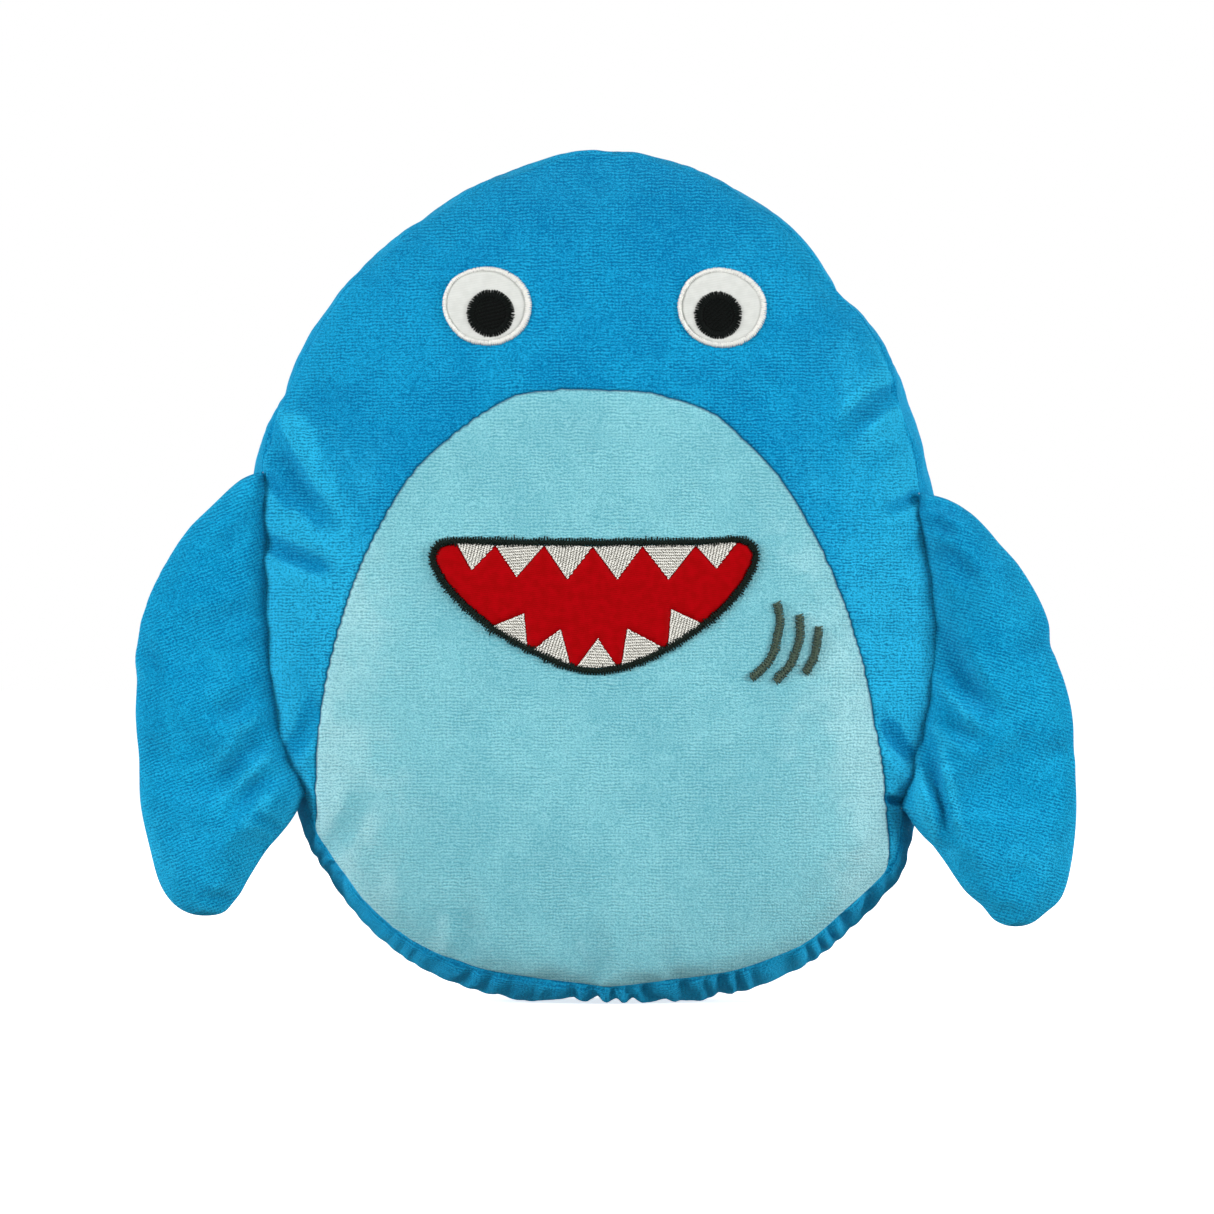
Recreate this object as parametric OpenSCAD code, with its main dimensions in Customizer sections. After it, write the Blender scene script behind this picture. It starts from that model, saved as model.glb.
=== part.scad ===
// Plush shark: a boxed, stuffed toy that rests on its flat lower end with its
// face toward -Y. A crowned front (blue hood panel around a pale belly panel),
// a side gusset, a crowned back panel and two stuffed flippers that are sewn
// into the front seam. The mouth, teeth, eyes and gill marks are embroidery.
// Left and right are as seen from the front. Sizes are in millimetres.

/* [Body] */
// Height of the outline centre above the resting face
centre_z = 165; // [150:1:180]
// Half width of the gusset from centre to seam
half_gusset = 35; // [28:1:45]
// How far the front swells forward of its seam
front_crown = 23; // [16:1:30]
// How far the back swells behind its seam
back_crown = 20; // [14:1:28]
// Outward swell of the gusset at the top
swell_top = 3; // [1:0.5:6]
// Outward swell of the gusset at the sides
swell_side = 5; // [3:0.5:7]
// Outward swell of the gusset at the base, before it is pressed flat
swell_base = 12; // [9:0.5:16]
// Thickness of the velour cloth
cloth_t = 1.6; // [1.2:0.1:2.2]
// Clearance between neighbouring panel edges
seam_gap = 0.2; // [0.1:0.05:0.4]

/* [Face] */
// Eye centre distance from the middle
eye_x = 48; // [44:1:52]
// Eye centre height
eye_z = 286.5; // [280:0.5:292]
// Half width of an eye with its border
eye_rx = 18; // [16:0.5:20]
// Half height of an eye with its border
eye_rz = 16; // [14:0.5:18]
// Width of the satin border around an eye
border_w = 2.8; // [2:0.1:3.5]
// Pupil radius
pupil_r = 9.9; // [9:0.1:11]
// Width of the satin cord around the mouth
outline_w = 3.5; // [3:0.1:4.2]
// Width of a gill mark
gill_w = 3.4; // [2.8:0.1:4]

/* [Flippers] */
// Half thickness of a stuffed flipper
flipper_h = 13; // [10:0.5:15]
// Depth of the flipper's mid plane, just ahead of the front seam
flipper_y = -36; // [-38:0.5:-35]

/* [Closing seam] */
// Number of hand stitches that close the back seam low down
stitch_count = 9; // [7:1:12]
// Distance between two hand stitches
stitch_pitch = 7; // [5:0.5:8]

/* [Hidden] */

// Depths below the outer surface of the body
backing_top = cloth_t + 0.5;
backing_low = backing_top + 0.4;
fill_depth = backing_low + 0.4;
// Heights above it for the embroidery layers
low_lift = 0.25;
mid_lift = 1.1;
top_lift = 2.0;

// Distance from the outline centre to the front seam, every 15 degrees
// clockwise from the top
seam_r = [185, 178, 167, 156, 143, 136, 136, 140, 147, 160, 162, 160,
          158, 159, 159, 153, 146, 142, 141, 147, 155, 164, 171, 179];
// The same for the belly panel's arch, which runs on past the seam low down
arch_r = [86, 86, 88, 86, 87, 90, 98, 112, 131, 166, 210, 240,
          240, 240, 210, 166, 137, 117, 104, 97, 94, 91, 91, 89];
// Where the arch meets the seam at the two feet
foot_right = 132;
foot_left = -128;

// Curves -----------------------------------------------------------------

// One span of a smooth curve through p1 and p2
function span(p0, p1, p2, p3, t) = 0.5 * (2 * p1 + (p2 - p0) * t
    + (2 * p0 - 5 * p1 + 4 * p2 - p3) * t * t + (3 * p1 - p0 - 3 * p2 + p3) * t * t * t);
// Value of a closed smooth curve through the list c at place u (0 to len)
function around(c, u) = let (n = len(c), i = floor(u), t = u - i)
    span(c[(i + n - 1) % n], c[i % n], c[(i + 1) % n], c[(i + 2) % n], t);
// Value of an open smooth curve through the list c at place u (0 to len - 1)
function along(c, u) = let (n = len(c), i = min(floor(u), n - 2), t = u - i)
    span(c[max(i - 1, 0)], c[i], c[i + 1], c[min(i + 2, n - 1)], t);
function wrap(a) = a - 360 * floor(a / 360);
function seam(a) = around(seam_r, wrap(a) / 15);
function arch(a) = min(seam(a), around(arch_r, wrap(a) / 15));
function swell(a) = swell_side + (swell_base - swell_side) * pow(max(0, -cos(a)), 2)
    - (swell_side - swell_top) * pow(max(0, cos(a)), 2);
function dome(s) = pow(max(0, 1 - pow(s, 2.5)), 0.6);

// Surfaces ---------------------------------------------------------------

// A point at angle a, radius r and depth y, pressed flat at the floor
function place(a, r, y, floor_z) = [r * sin(a), y, max(floor_z, centre_z + r * cos(a))];
// Front surface at angle a and share s of the seam radius, d below the cloth
function front_pt(a, s, d) = let (r = (seam(a) - d) * s)
    place(a, r, -half_gusset - (front_crown - d) * dome(s), d);
function back_pt(a, s, d) = let (r = (seam(a) - d) * s)
    place(a, r, half_gusset + (back_crown - d) * dome(s), d);
// Gusset surface; v runs from -1 at the front seam to 1 at the back seam
function side_pt(a, v, d) = place(a, seam(a) - d + swell(a) * pow(1 - v * v, 0.8),
    v * (half_gusset - seam_gap), d);
// Depth of the front surface over any place x, z
function front_y(x, z, d) = let (r = norm([x, z - centre_z]), a = atan2(x, z - centre_z))
    -half_gusset - (front_crown - d) * dome(min(1, r / (seam(a) - d)));
function on_front(p, d) = [p[0], front_y(p[0], p[1], d), p[1]];

// Solids from grids ------------------------------------------------------

function flat(l) = [for (row = l) for (p = row) p];
function cell(a, b, c, d) = [[a, d, c], [a, c, b]];
// Two facing grids of rows (a in front or outside, b behind or inside),
// joined along all four edges
module slab(a, b) {
    m = len(a);
    n = len(a[0]);
    k = m * n;
    faces = concat(
        [for (i = [0:m - 2]) for (j = [0:n - 2]) for (f = cell(i * n + j, i * n + j + 1,
            (i + 1) * n + j + 1, (i + 1) * n + j)) f],
        [for (i = [0:m - 2]) for (j = [0:n - 2]) for (f = cell(k + i * n + j, k + (i + 1) * n + j,
            k + (i + 1) * n + j + 1, k + i * n + j + 1)) f],
        [for (j = [0:n - 2]) for (f = cell((m - 1) * n + j, (m - 1) * n + j + 1,
            k + (m - 1) * n + j + 1, k + (m - 1) * n + j)) f],
        [for (j = [0:n - 2]) for (f = cell(j, k + j, k + j + 1, j + 1)) f],
        [for (i = [0:m - 2]) for (f = cell(i * n, (i + 1) * n, k + (i + 1) * n, k + i * n)) f],
        [for (i = [0:m - 2]) for (f = cell(i * n + n - 1, k + i * n + n - 1,
            k + (i + 1) * n + n - 1, (i + 1) * n + n - 1)) f]);
    polyhedron(points = concat(flat(a), flat(b)), faces = faces, convexity = 6);
}
// A closed solid of rings from a first to a last point; the rings of a shell
// run out to its rim and then back in over its other side
module ringed(first, rings, last) {
    m = len(rings);
    n = len(rings[0]);
    e = m * n;
    faces = concat(
        [for (j = [0:n - 1]) [e, j, (j + 1) % n]],
        [for (i = [0:m - 2]) for (j = [0:n - 1]) for (f = cell(i * n + j, i * n + (j + 1) % n,
            (i + 1) * n + (j + 1) % n, (i + 1) * n + j)) f],
        [for (j = [0:n - 1]) [e + 1, (m - 1) * n + (j + 1) % n, (m - 1) * n + j]]);
    polyhedron(points = concat(flat(rings), [first, last]), faces = faces, convexity = 6);
}
// A closed band: both grids wrap around and the hole in the middle stays open
module band(a, b) {
    m = len(a);
    n = len(a[0]);
    k = m * n;
    faces = concat(
        [for (i = [0:m - 2]) for (j = [0:n - 1]) for (f = cell(i * n + j, i * n + (j + 1) % n,
            (i + 1) * n + (j + 1) % n, (i + 1) * n + j)) f],
        [for (i = [0:m - 2]) for (j = [0:n - 1]) for (f = cell(k + i * n + j, k + (i + 1) * n + j,
            k + (i + 1) * n + (j + 1) % n, k + i * n + (j + 1) % n)) f],
        [for (j = [0:n - 1]) for (f = cell((m - 1) * n + j, (m - 1) * n + (j + 1) % n,
            k + (m - 1) * n + (j + 1) % n, k + (m - 1) * n + j)) f],
        [for (j = [0:n - 1]) for (f = cell(j, k + j, k + (j + 1) % n, (j + 1) % n)) f]);
    polyhedron(points = concat(flat(a), flat(b)), faces = faces, convexity = 6);
}

// Face pieces laid on the front surface ----------------------------------

function mid(c) = [for (k = [0:1]) let (v = [for (p = c) p[k]]) (min(v) + max(v)) / 2];
function shrink(c, o, s) = [for (p = c) o + (p - o) * s];
function smooth(c, n) = [for (i = [0:n - 1]) around(c, i * len(c) / n)];
// Outline moved inward by w, square to its own direction
function inset(c, w) = let (n = len(c)) [for (i = [0:n - 1]) let (t = c[(i + 1) % n] - c[(i + n - 1) % n])
    c[i] + w * [t[1], -t[0]] / norm(t)];
// A filled patch inside the clockwise outline c
module patch(c, low, high, steps = 3) {
    o = mid(c);
    up = [for (i = [1:steps]) [for (p = shrink(c, o, i / steps)) on_front(p, -high)]];
    down = [for (i = [steps:-1:1]) [for (p = shrink(c, o, i / steps)) on_front(p, -low)]];
    ringed(on_front(o, -high), concat(up, down), on_front(o, -low));
}
// A closed cord of width w centred on the clockwise outline c
module loop(c, w, low, high) {
    inner = inset(c, w / 2);
    outer = inset(c, -w / 2);
    band([[for (p = inner) on_front(p, -high)], [for (p = outer) on_front(p, -high)]],
        [[for (p = inner) on_front(p, -low)], [for (p = outer) on_front(p, -low)]]);
}
function oval(x, z, rx, rz, n) = [for (i = [0:n - 1]) [x + rx * sin(i * 360 / n), z + rz * cos(i * 360 / n)]];

// Panels and filling -----------------------------------------------------

// Shares of the way out to the rim at which the surfaces are built
rows = [0, 0.26, 0.5, 0.7, 0.85, 0.95, 0.988, 1];
last_row = len(rows) - 1;

hood_cols = 44;
function hood_a(j) = foot_left + 2 + (foot_right - foot_left - 4) * j / hood_cols;
function hood_s(a, i) = let (s0 = (arch(a) + seam_gap) / seam(a)) s0 + (1 - s0) * rows[i];
module front_panel() color("#0a88c2")
    slab([for (i = [0:last_row]) [for (j = [0:hood_cols]) front_pt(hood_a(j), hood_s(hood_a(j), i), 0)]],
        [for (i = [0:last_row]) [for (j = [0:hood_cols]) front_pt(hood_a(j), hood_s(hood_a(j), i), cloth_t)]]);

belly_cols = 60;
function belly_s(a, i) = min(1, (arch(a) - seam_gap) / seam(a)) * rows[i];
function belly_ring(i, d) = [for (j = [0:belly_cols - 1]) let (a = j * 360 / belly_cols)
    front_pt(a, belly_s(a, i), d)];
module belly_panel() color("#84cad6")
    ringed(front_pt(0, 0, 0), concat([for (i = [1:last_row]) belly_ring(i, 0)],
        [for (i = [last_row:-1:1]) belly_ring(i, cloth_t)]), front_pt(0, 0, cloth_t));

back_cols = 60;
function back_ring(i, d) = [for (j = [0:back_cols - 1]) back_pt(j * 360 / back_cols, rows[i], d)];
module back_panel() color("#0a88c2")
    ringed(back_pt(0, 0, cloth_t), concat([for (i = [1:last_row]) back_ring(i, cloth_t)],
        [for (i = [last_row:-1:1]) back_ring(i, 0)]), back_pt(0, 0, 0));

gusset_cols = 72;
gusset_rows = 6;
function gusset_a(j) = 0.04 + (360 - 0.08) * j / gusset_cols;
function gusset_grid(d) = [for (i = [0:gusset_rows]) [for (j = [0:gusset_cols])
    side_pt(gusset_a(j), 2 * i / gusset_rows - 1, d)]];
module gusset() color("#0b79ab")
    slab(gusset_grid(0), gusset_grid(cloth_t));

fill_cols = 48;
function fill_front(s) = [for (j = [0:fill_cols - 1]) front_pt(j * 360 / fill_cols, s, fill_depth)];
function fill_back(s) = [for (j = [0:fill_cols - 1]) back_pt(j * 360 / fill_cols, s, fill_depth)];
function fill_side(v) = [for (j = [0:fill_cols - 1]) side_pt(j * 360 / fill_cols, v, fill_depth)];
module body_stuffing() color("#f2f2ee")
    ringed(front_pt(0, 0, fill_depth), concat([for (i = [1:last_row]) fill_front(rows[i])],
        [for (v = [-2 / 3, -1 / 3, 0, 1 / 3, 2 / 3]) fill_side(v)],
        [for (i = [last_row:-1:1]) fill_back(rows[i])]), back_pt(0, 0, fill_depth));

// Short hand stitches across the back seam, left of the lower centre
module closing_stitches() color("#0a6a96")
    for (i = [0:stitch_count - 1]) {
        a = 180 + (i - (stitch_count - 1) / 2) * stitch_pitch / 2.75;
        translate([0, half_gusset, centre_z]) rotate([0, a, 0]) translate([0, 1.2, seam(a) + 0.9])
            rotate([90, 0, 0]) cylinder(h = 3, d = 0.8, center = true, $fn = 12);
    }

// Eyes -------------------------------------------------------------------

module eye_white(side) color("#e6e4df")
    patch(oval(side * eye_x, eye_z, eye_rx - border_w - 0.2, eye_rz - border_w - 0.2, 28), low_lift, 0.9);
module eye_border(side) color("#efeee9")
    loop(oval(side * eye_x, eye_z, eye_rx - border_w / 2, eye_rz - border_w / 2, 32), border_w, low_lift, 1.9);
module pupil(side) color("#07100d")
    patch(oval(side * (eye_x - 1.5), eye_z - 3, pupil_r, pupil_r, 20), mid_lift, top_lift, 2);
module eye_backing(side) color("#d8d8d4")
    patch(oval(side * eye_x, eye_z, eye_rx + 4, eye_rz + 4, 20), -backing_low, -backing_top, 2);
module eye_white_left() eye_white(-1);
module eye_white_right() eye_white(1);
module eye_border_left() eye_border(-1);
module eye_border_right() eye_border(1);
module pupil_left() pupil(-1);
module pupil_right() pupil(1);
module eye_backing_left() eye_backing(-1);
module eye_backing_right() eye_backing(1);

// Mouth ------------------------------------------------------------------

// Middle line of the cord around the mouth, clockwise from its left corner
mouth_pts = [[-71, 186], [-63, 190], [-34, 190], [-5, 190], [25, 190.5], [53, 191], [62, 185],
             [52, 170], [40, 157], [24, 147], [5, 139], [-14, 139], [-30, 145], [-45, 155],
             [-61, 170]];
mouth_line = smooth(mouth_pts, 60);
module mouth_patch() color("#ad0310")
    patch(inset(mouth_line, outline_w / 2 + 0.2), low_lift, 0.9);
module mouth_outline() color("#10231d")
    loop(mouth_line, outline_w, low_lift, 1.9);
module mouth_backing() color("#d8d8d4")
    patch(smooth(shrink(mouth_pts, [-4, 165], 1.06), 30), -backing_low, -backing_top, 3);

// Tip points of the upper teeth, and the tops of the gaps between them
upper_tips = [[-54, 179], [-36, 176], [-15, 175], [5, 175], [26, 175], [45, 180]];
upper_tops = [-61.5, -45, -25, -5, 16, 37, 52.5];
// Each lower tooth: tip, left foot, right foot
lower_teeth = [[[-33, 161], [-44.5, 158.5], [-31.5, 150]], [[-18, 155], [-29, 149], [-14.5, 143]],
               [[-3, 150], [-12, 142.5], [4.5, 142.5]], [[9, 155], [7.5, 143], [23, 150.5]],
               [[27, 163], [25, 151.5], [38, 160.5]]];
// A tooth from three corners, clockwise
module tooth(a, tip, b) color("#e9e4d6")
    patch([a, a + 0.5 * (b - a), b, b + 0.5 * (tip - b), tip, tip + 0.5 * (a - tip)], mid_lift, top_lift, 2);
module upper_tooth(i) tooth([upper_tops[i] + 0.3, 187.8], upper_tips[i], [upper_tops[i + 1] - 0.3, 187.8]);
module lower_tooth(i) tooth(lower_teeth[i][2], lower_teeth[i][1], lower_teeth[i][0]);
module upper_tooth_1() upper_tooth(0);
module upper_tooth_2() upper_tooth(1);
module upper_tooth_3() upper_tooth(2);
module upper_tooth_4() upper_tooth(3);
module upper_tooth_5() upper_tooth(4);
module upper_tooth_6() upper_tooth(5);
module lower_tooth_1() lower_tooth(0);
module lower_tooth_2() lower_tooth(1);
module lower_tooth_3() lower_tooth(2);
module lower_tooth_4() lower_tooth(3);
module lower_tooth_5() lower_tooth(4);

// Gill marks -------------------------------------------------------------

gill_lines = [[[70, 165], [71, 155], [69, 146], [60, 135]], [[79, 160], [79, 152], [77, 144], [70, 134]],
              [[87, 155], [86, 149], [85, 143], [82, 137]]];
// A curved bar along an open line, with both ends drawn in
module gill(line) color("#16261f") {
    n = 10;
    c = [for (i = [0:n]) along(line, i * 3 / n)];
    w = [for (i = [0:n]) gill_w * (0.28 + 0.22 * min(1, 3 * min(i, n - i) / n))];
    t = [for (i = [0:n]) let (v = c[min(i + 1, n)] - c[max(i - 1, 0)]) [v[1], -v[0]] / norm(v)];
    l = [for (i = [0:n]) c[i] - t[i] * w[i]];
    r = [for (i = [0:n]) c[i] + t[i] * w[i]];
    slab([[for (p = r) on_front(p, -1.7)], [for (p = l) on_front(p, -1.7)]],
        [[for (p = r) on_front(p, -low_lift)], [for (p = l) on_front(p, -low_lift)]]);
}
module gill_mark_1() gill(gill_lines[0]);
module gill_mark_2() gill(gill_lines[1]);
module gill_mark_3() gill(gill_lines[2]);
module gill_backing() color("#d8d8d4")
    patch(oval(75, 149, 19, 21, 20), -backing_low, -backing_top, 2);

// Flippers ---------------------------------------------------------------

// Outlines clockwise as seen from the front; the root edge is nearly straight
left_flipper = [[-146, 219], [-144.8, 188], [-143.4, 155], [-141.4, 120], [-138.5, 92], [-136, 74],
                [-146, 53], [-158, 38], [-173, 38.5], [-186, 64], [-191, 98], [-192, 130],
                [-187, 165], [-172, 194], [-156, 212]];
right_flipper = [[140, 209], [157, 197], [176, 173], [184, 146], [192, 118], [193, 78], [187, 44],
                 [169, 33], [155, 42], [140, 60], [137, 74], [137.8, 92], [139.2, 122], [139.8, 155],
                 [140.2, 188]];
left_mid = [-163, 116];
right_mid = [164, 112];
fin_cols = 44;
function fin_dome(s) = pow(max(0, 1 - s * s), 0.9);
// Both skins share one outline; face is -1 for the front skin, 1 for the back
function fin_ring(c, o, s, y) = [for (p = shrink(smooth(c, fin_cols), o, s)) [p[0], flipper_y + y, p[1]]];
module fin_skin(c, o, face) {
    s_out = [0.3, 0.55, 0.77, 0.92, 1];
    s_in = [0.3, 0.55, 0.75, 0.88, 0.95];
    out = [for (s = s_out) fin_ring(c, o, s, face * (flipper_h * fin_dome(s) + 0.1))];
    in = [for (s = s_in) fin_ring(c, o, s, face * ((flipper_h - cloth_t) * fin_dome(s / 0.95) + 0.1))];
    out_mid = [o[0], flipper_y + face * (flipper_h + 0.1), o[1]];
    in_mid = [o[0], flipper_y + face * (flipper_h - cloth_t + 0.1), o[1]];
    if (face < 0)
        ringed(out_mid, concat(out, [for (i = [4:-1:0]) in[i]]), in_mid);
    else
        ringed(in_mid, concat(in, [for (i = [4:-1:0]) out[i]]), out_mid);
}
module fin_fill(c, o) {
    h = flipper_h - cloth_t - 0.6;
    s_in = [0.3, 0.6, 0.8, 0.93];
    ringed([o[0], flipper_y - h, o[1]],
        concat([for (s = s_in) fin_ring(c, o, s, -h * fin_dome(s / 0.945))],
            [for (i = [3:-1:0]) fin_ring(c, o, s_in[i], h * fin_dome(s_in[i] / 0.945))]),
        [o[0], flipper_y + h, o[1]]);
}
module left_flipper_front() color("#1497cb") fin_skin(left_flipper, left_mid, -1);
module left_flipper_back() color("#0a88c2") fin_skin(left_flipper, left_mid, 1);
module left_flipper_stuffing() color("#f2f2ee") fin_fill(left_flipper, left_mid);
module right_flipper_front() color("#1497cb") fin_skin(right_flipper, right_mid, -1);
module right_flipper_back() color("#0a88c2") fin_skin(right_flipper, right_mid, 1);
module right_flipper_stuffing() color("#f2f2ee") fin_fill(right_flipper, right_mid);

front_panel();
belly_panel();
gusset();
back_panel();
body_stuffing();
closing_stitches();
eye_white_left();
eye_white_right();
eye_border_left();
eye_border_right();
pupil_left();
pupil_right();
mouth_patch();
mouth_outline();
upper_tooth_1();
upper_tooth_2();
upper_tooth_3();
upper_tooth_4();
upper_tooth_5();
upper_tooth_6();
lower_tooth_1();
lower_tooth_2();
lower_tooth_3();
lower_tooth_4();
lower_tooth_5();
gill_mark_1();
gill_mark_2();
gill_mark_3();
eye_backing_left();
eye_backing_right();
mouth_backing();
gill_backing();
left_flipper_front();
left_flipper_back();
left_flipper_stuffing();
right_flipper_front();
right_flipper_back();
right_flipper_stuffing();
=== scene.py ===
"""Looks for a stuffed shark cushion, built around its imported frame.

The body is one closed cloth shell (hood, belly, gusset and back) that is
inflated by a cloth simulation with its seams held, then creased, cut into its
panels and given thickness. Each flipper is made the same way. Eyes, mouth,
teeth and gill marks are real stitches laid on the finished front.
Lengths in the classes are in millimetres; meshes are made in metres.
"""

import logging
import math
from dataclasses import dataclass, field
from enum import Enum
from typing import Callable, Iterable, Sequence

import bpy
import numpy as np
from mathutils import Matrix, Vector, noise
from mathutils.bvhtree import BVHTree
from mathutils.geometry import delaunay_2d_cdt


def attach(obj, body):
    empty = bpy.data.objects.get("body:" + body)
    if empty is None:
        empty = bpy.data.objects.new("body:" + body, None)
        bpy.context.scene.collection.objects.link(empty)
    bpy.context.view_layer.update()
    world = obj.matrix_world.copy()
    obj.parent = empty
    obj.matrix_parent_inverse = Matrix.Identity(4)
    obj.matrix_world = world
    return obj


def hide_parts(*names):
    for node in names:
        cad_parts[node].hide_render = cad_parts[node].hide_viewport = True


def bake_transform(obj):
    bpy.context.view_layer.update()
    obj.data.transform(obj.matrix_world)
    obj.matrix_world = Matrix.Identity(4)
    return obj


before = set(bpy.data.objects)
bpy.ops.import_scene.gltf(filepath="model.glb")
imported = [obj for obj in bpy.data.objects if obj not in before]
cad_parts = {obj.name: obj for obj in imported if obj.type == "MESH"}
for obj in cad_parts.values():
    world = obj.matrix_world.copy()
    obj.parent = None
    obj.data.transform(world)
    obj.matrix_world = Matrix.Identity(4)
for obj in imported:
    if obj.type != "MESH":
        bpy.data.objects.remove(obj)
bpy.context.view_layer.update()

LOG = logging.getLogger("shark")
MM = 0.001
TAU = 2.0 * math.pi
SEED = 20
TINY = 1e-9
# Shares of the spacing: from row to row in a lattice, and the least gap to a point already there.
ROW_STEP = 0.866
CROWDING = 0.62
# In mm: the least gap between fine points and to a seam, and where the rows beside a seam lie.
FINE_GAP = 1.0
SEAM_GAP = 1.1
BESIDE_SEAM = (1.3, 3.2)
# In degrees: an edge that bends more than this is the cut edge of a cloth and stays crisp.
CUT_EDGE = 62.0
# The name of the flat cloth layout that the weaves follow.
LAYOUT = "cloth"

Point2 = tuple[float, float]
Colour = tuple[float, float, float]


class Side(Enum):
    """Which side of the body a piece is on, as seen from the front."""

    LEFT = -1
    RIGHT = 1


class Panel(Enum):
    """The cloth panels that make up the body's skin."""

    HOOD = 0
    BELLY = 1
    GUSSET = 2
    BACK = 3


# Curves and plane figures -------------------------------------------------


def curve(points: Sequence[Point2], spacing: float, closed: bool) -> np.ndarray:
    """Samples a smooth curve through points at an even spacing.

    Args:
        points: The places the curve passes through, in mm.
        spacing: Distance between samples, in mm.
        closed: Whether the curve returns to its start.

    Returns:
        An (n, 2) array of samples; a closed curve doesn't repeat its start.
    """
    p = np.asarray(points, float)
    ends = (p[-1:], p[:2]) if closed else (p[:1], p[-1:])
    p = np.vstack([ends[0], p, ends[1]])
    t = np.linspace(0, 1, 24, endpoint=False)[:, None]
    fine = [0.5 * (2 * b + (c - a) * t + (2 * a - 5 * b + 4 * c - d) * t**2 + (3 * b - a - 3 * c + d) * t**3)
            for a, b, c, d in zip(p, p[1:], p[2:], p[3:])]
    line = np.vstack([*fine, p[-2:-1]])
    run = run_along(line)
    at = np.linspace(0, run[-1], max(3, int(round(run[-1] / spacing))) + 1)
    return at_run(line, run, at[:-1] if closed else at)


def run_along(line: np.ndarray) -> np.ndarray:
    """Gives the distance along an open line at each of its points."""
    return np.concatenate([[0], np.cumsum(np.linalg.norm(np.diff(line, axis=0), axis=1))])


def at_run(line: np.ndarray, run: np.ndarray, at: np.ndarray) -> np.ndarray:
    """Gives the places at chosen distances along a line."""
    return np.column_stack([np.interp(at, run, line[:, k]) for k in (0, 1)])


def closed_line(rim: np.ndarray) -> np.ndarray:
    """Gives a closed outline with its first point repeated at the end."""
    return np.vstack([rim, rim[:1]])


def signed_area(outline: np.ndarray) -> float:
    """Gives a closed outline's area, positive if it turns counter-clockwise."""
    x, y = outline.T
    return float(np.sum(x * np.roll(y, -1) - np.roll(x, -1) * y)) / 2


def counter_clockwise(outline: np.ndarray) -> np.ndarray:
    """Gives a closed outline turned counter-clockwise."""
    return outline if signed_area(outline) > 0 else outline[::-1]


def unit(directions: np.ndarray) -> np.ndarray:
    """Gives directions with a length of 1."""
    return directions / np.maximum(np.linalg.norm(directions, axis=1)[:, None], TINY)


def left_of(directions: np.ndarray) -> np.ndarray:
    """Gives directions turned a quarter to the left."""
    return np.column_stack([-directions[:, 1], directions[:, 0]])


def gaps(points: np.ndarray, others: np.ndarray) -> np.ndarray:
    """Gives each point's distance from the nearest of the others.

    Args:
        points: An (n, 2) array of places, in mm.
        others: An (m, 2) array of places, in mm.

    Returns:
        One distance for each point.
    """
    blocks = np.array_split(points, len(points) // 2000 + 1)
    return np.concatenate([np.linalg.norm(block[:, None] - others[None], axis=2).min(axis=1)
                           for block in blocks])


def inside(points: np.ndarray, polygon: np.ndarray) -> np.ndarray:
    """Tells which points lie in a polygon.

    Args:
        points: An (n, 2) array.
        polygon: An (m, 2) array of corners.

    Returns:
        A boolean array of length n.
    """
    x, y = points[:, 0], points[:, 1]
    result = np.zeros(len(points), bool)
    for (x0, y0), (x1, y1) in zip(polygon, np.roll(polygon, -1, axis=0)):
        crosses = (y0 > y) != (y1 > y)
        with np.errstate(divide="ignore", invalid="ignore"):
            at = (x1 - x0) * (y - y0) / (y1 - y0) + x0
        result ^= crosses & (x < at)
    return result


def nearest_on_line(points: np.ndarray,
                    line: np.ndarray) -> tuple[np.ndarray, np.ndarray, np.ndarray]:
    """Finds the nearest place on an open line for each point.

    Args:
        points: An (n, 2) array.
        line: An (m, 2) array of the line's points.

    Returns:
        Signed distance (positive on the line's left), place along the line
        from 0 to 1, and plain distance, each of length n.
    """
    steps = np.diff(line, axis=0)
    lengths = np.linalg.norm(steps, axis=1)
    run = run_along(line)
    best = np.full(len(points), np.inf)
    signed, place = np.zeros((2, len(points)))
    for i, (start, step, length) in enumerate(zip(line[:-1], steps, lengths)):
        rel = points - start
        t = np.clip(rel @ step / max(length * length, TINY), 0, 1)
        gap = rel - t[:, None] * step
        dist = np.linalg.norm(gap, axis=1)
        side = np.sign(step[0] * rel[:, 1] - step[1] * rel[:, 0])
        closer = dist < best
        best[closer] = dist[closer]
        signed[closer] = (dist * side)[closer]
        place[closer] = ((run[i] + t * length) / run[-1])[closer]
    return signed, place, best


def lattice(polygon: np.ndarray, spacing: float, keep_off: np.ndarray) -> np.ndarray:
    """Fills a polygon with an even triangular lattice of points.

    Args:
        polygon: The corners, in mm.
        spacing: Distance between points, in mm.
        keep_off: Points that lattice points may not crowd.

    Returns:
        An (n, 2) array of points inside the polygon.
    """
    low, high = polygon.min(axis=0), polygon.max(axis=0)
    rows = int((high[1] - low[1]) / (spacing * ROW_STEP)) + 2
    cols = int((high[0] - low[0]) / spacing) + 2
    grid = np.array([(low[0] + (c + 0.5 * (r % 2)) * spacing, low[1] + r * spacing * ROW_STEP)
                     for r in range(rows) for c in range(cols)])
    grid = grid[inside(grid, polygon)]
    return grid[gaps(grid, keep_off) > CROWDING * spacing]


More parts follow.
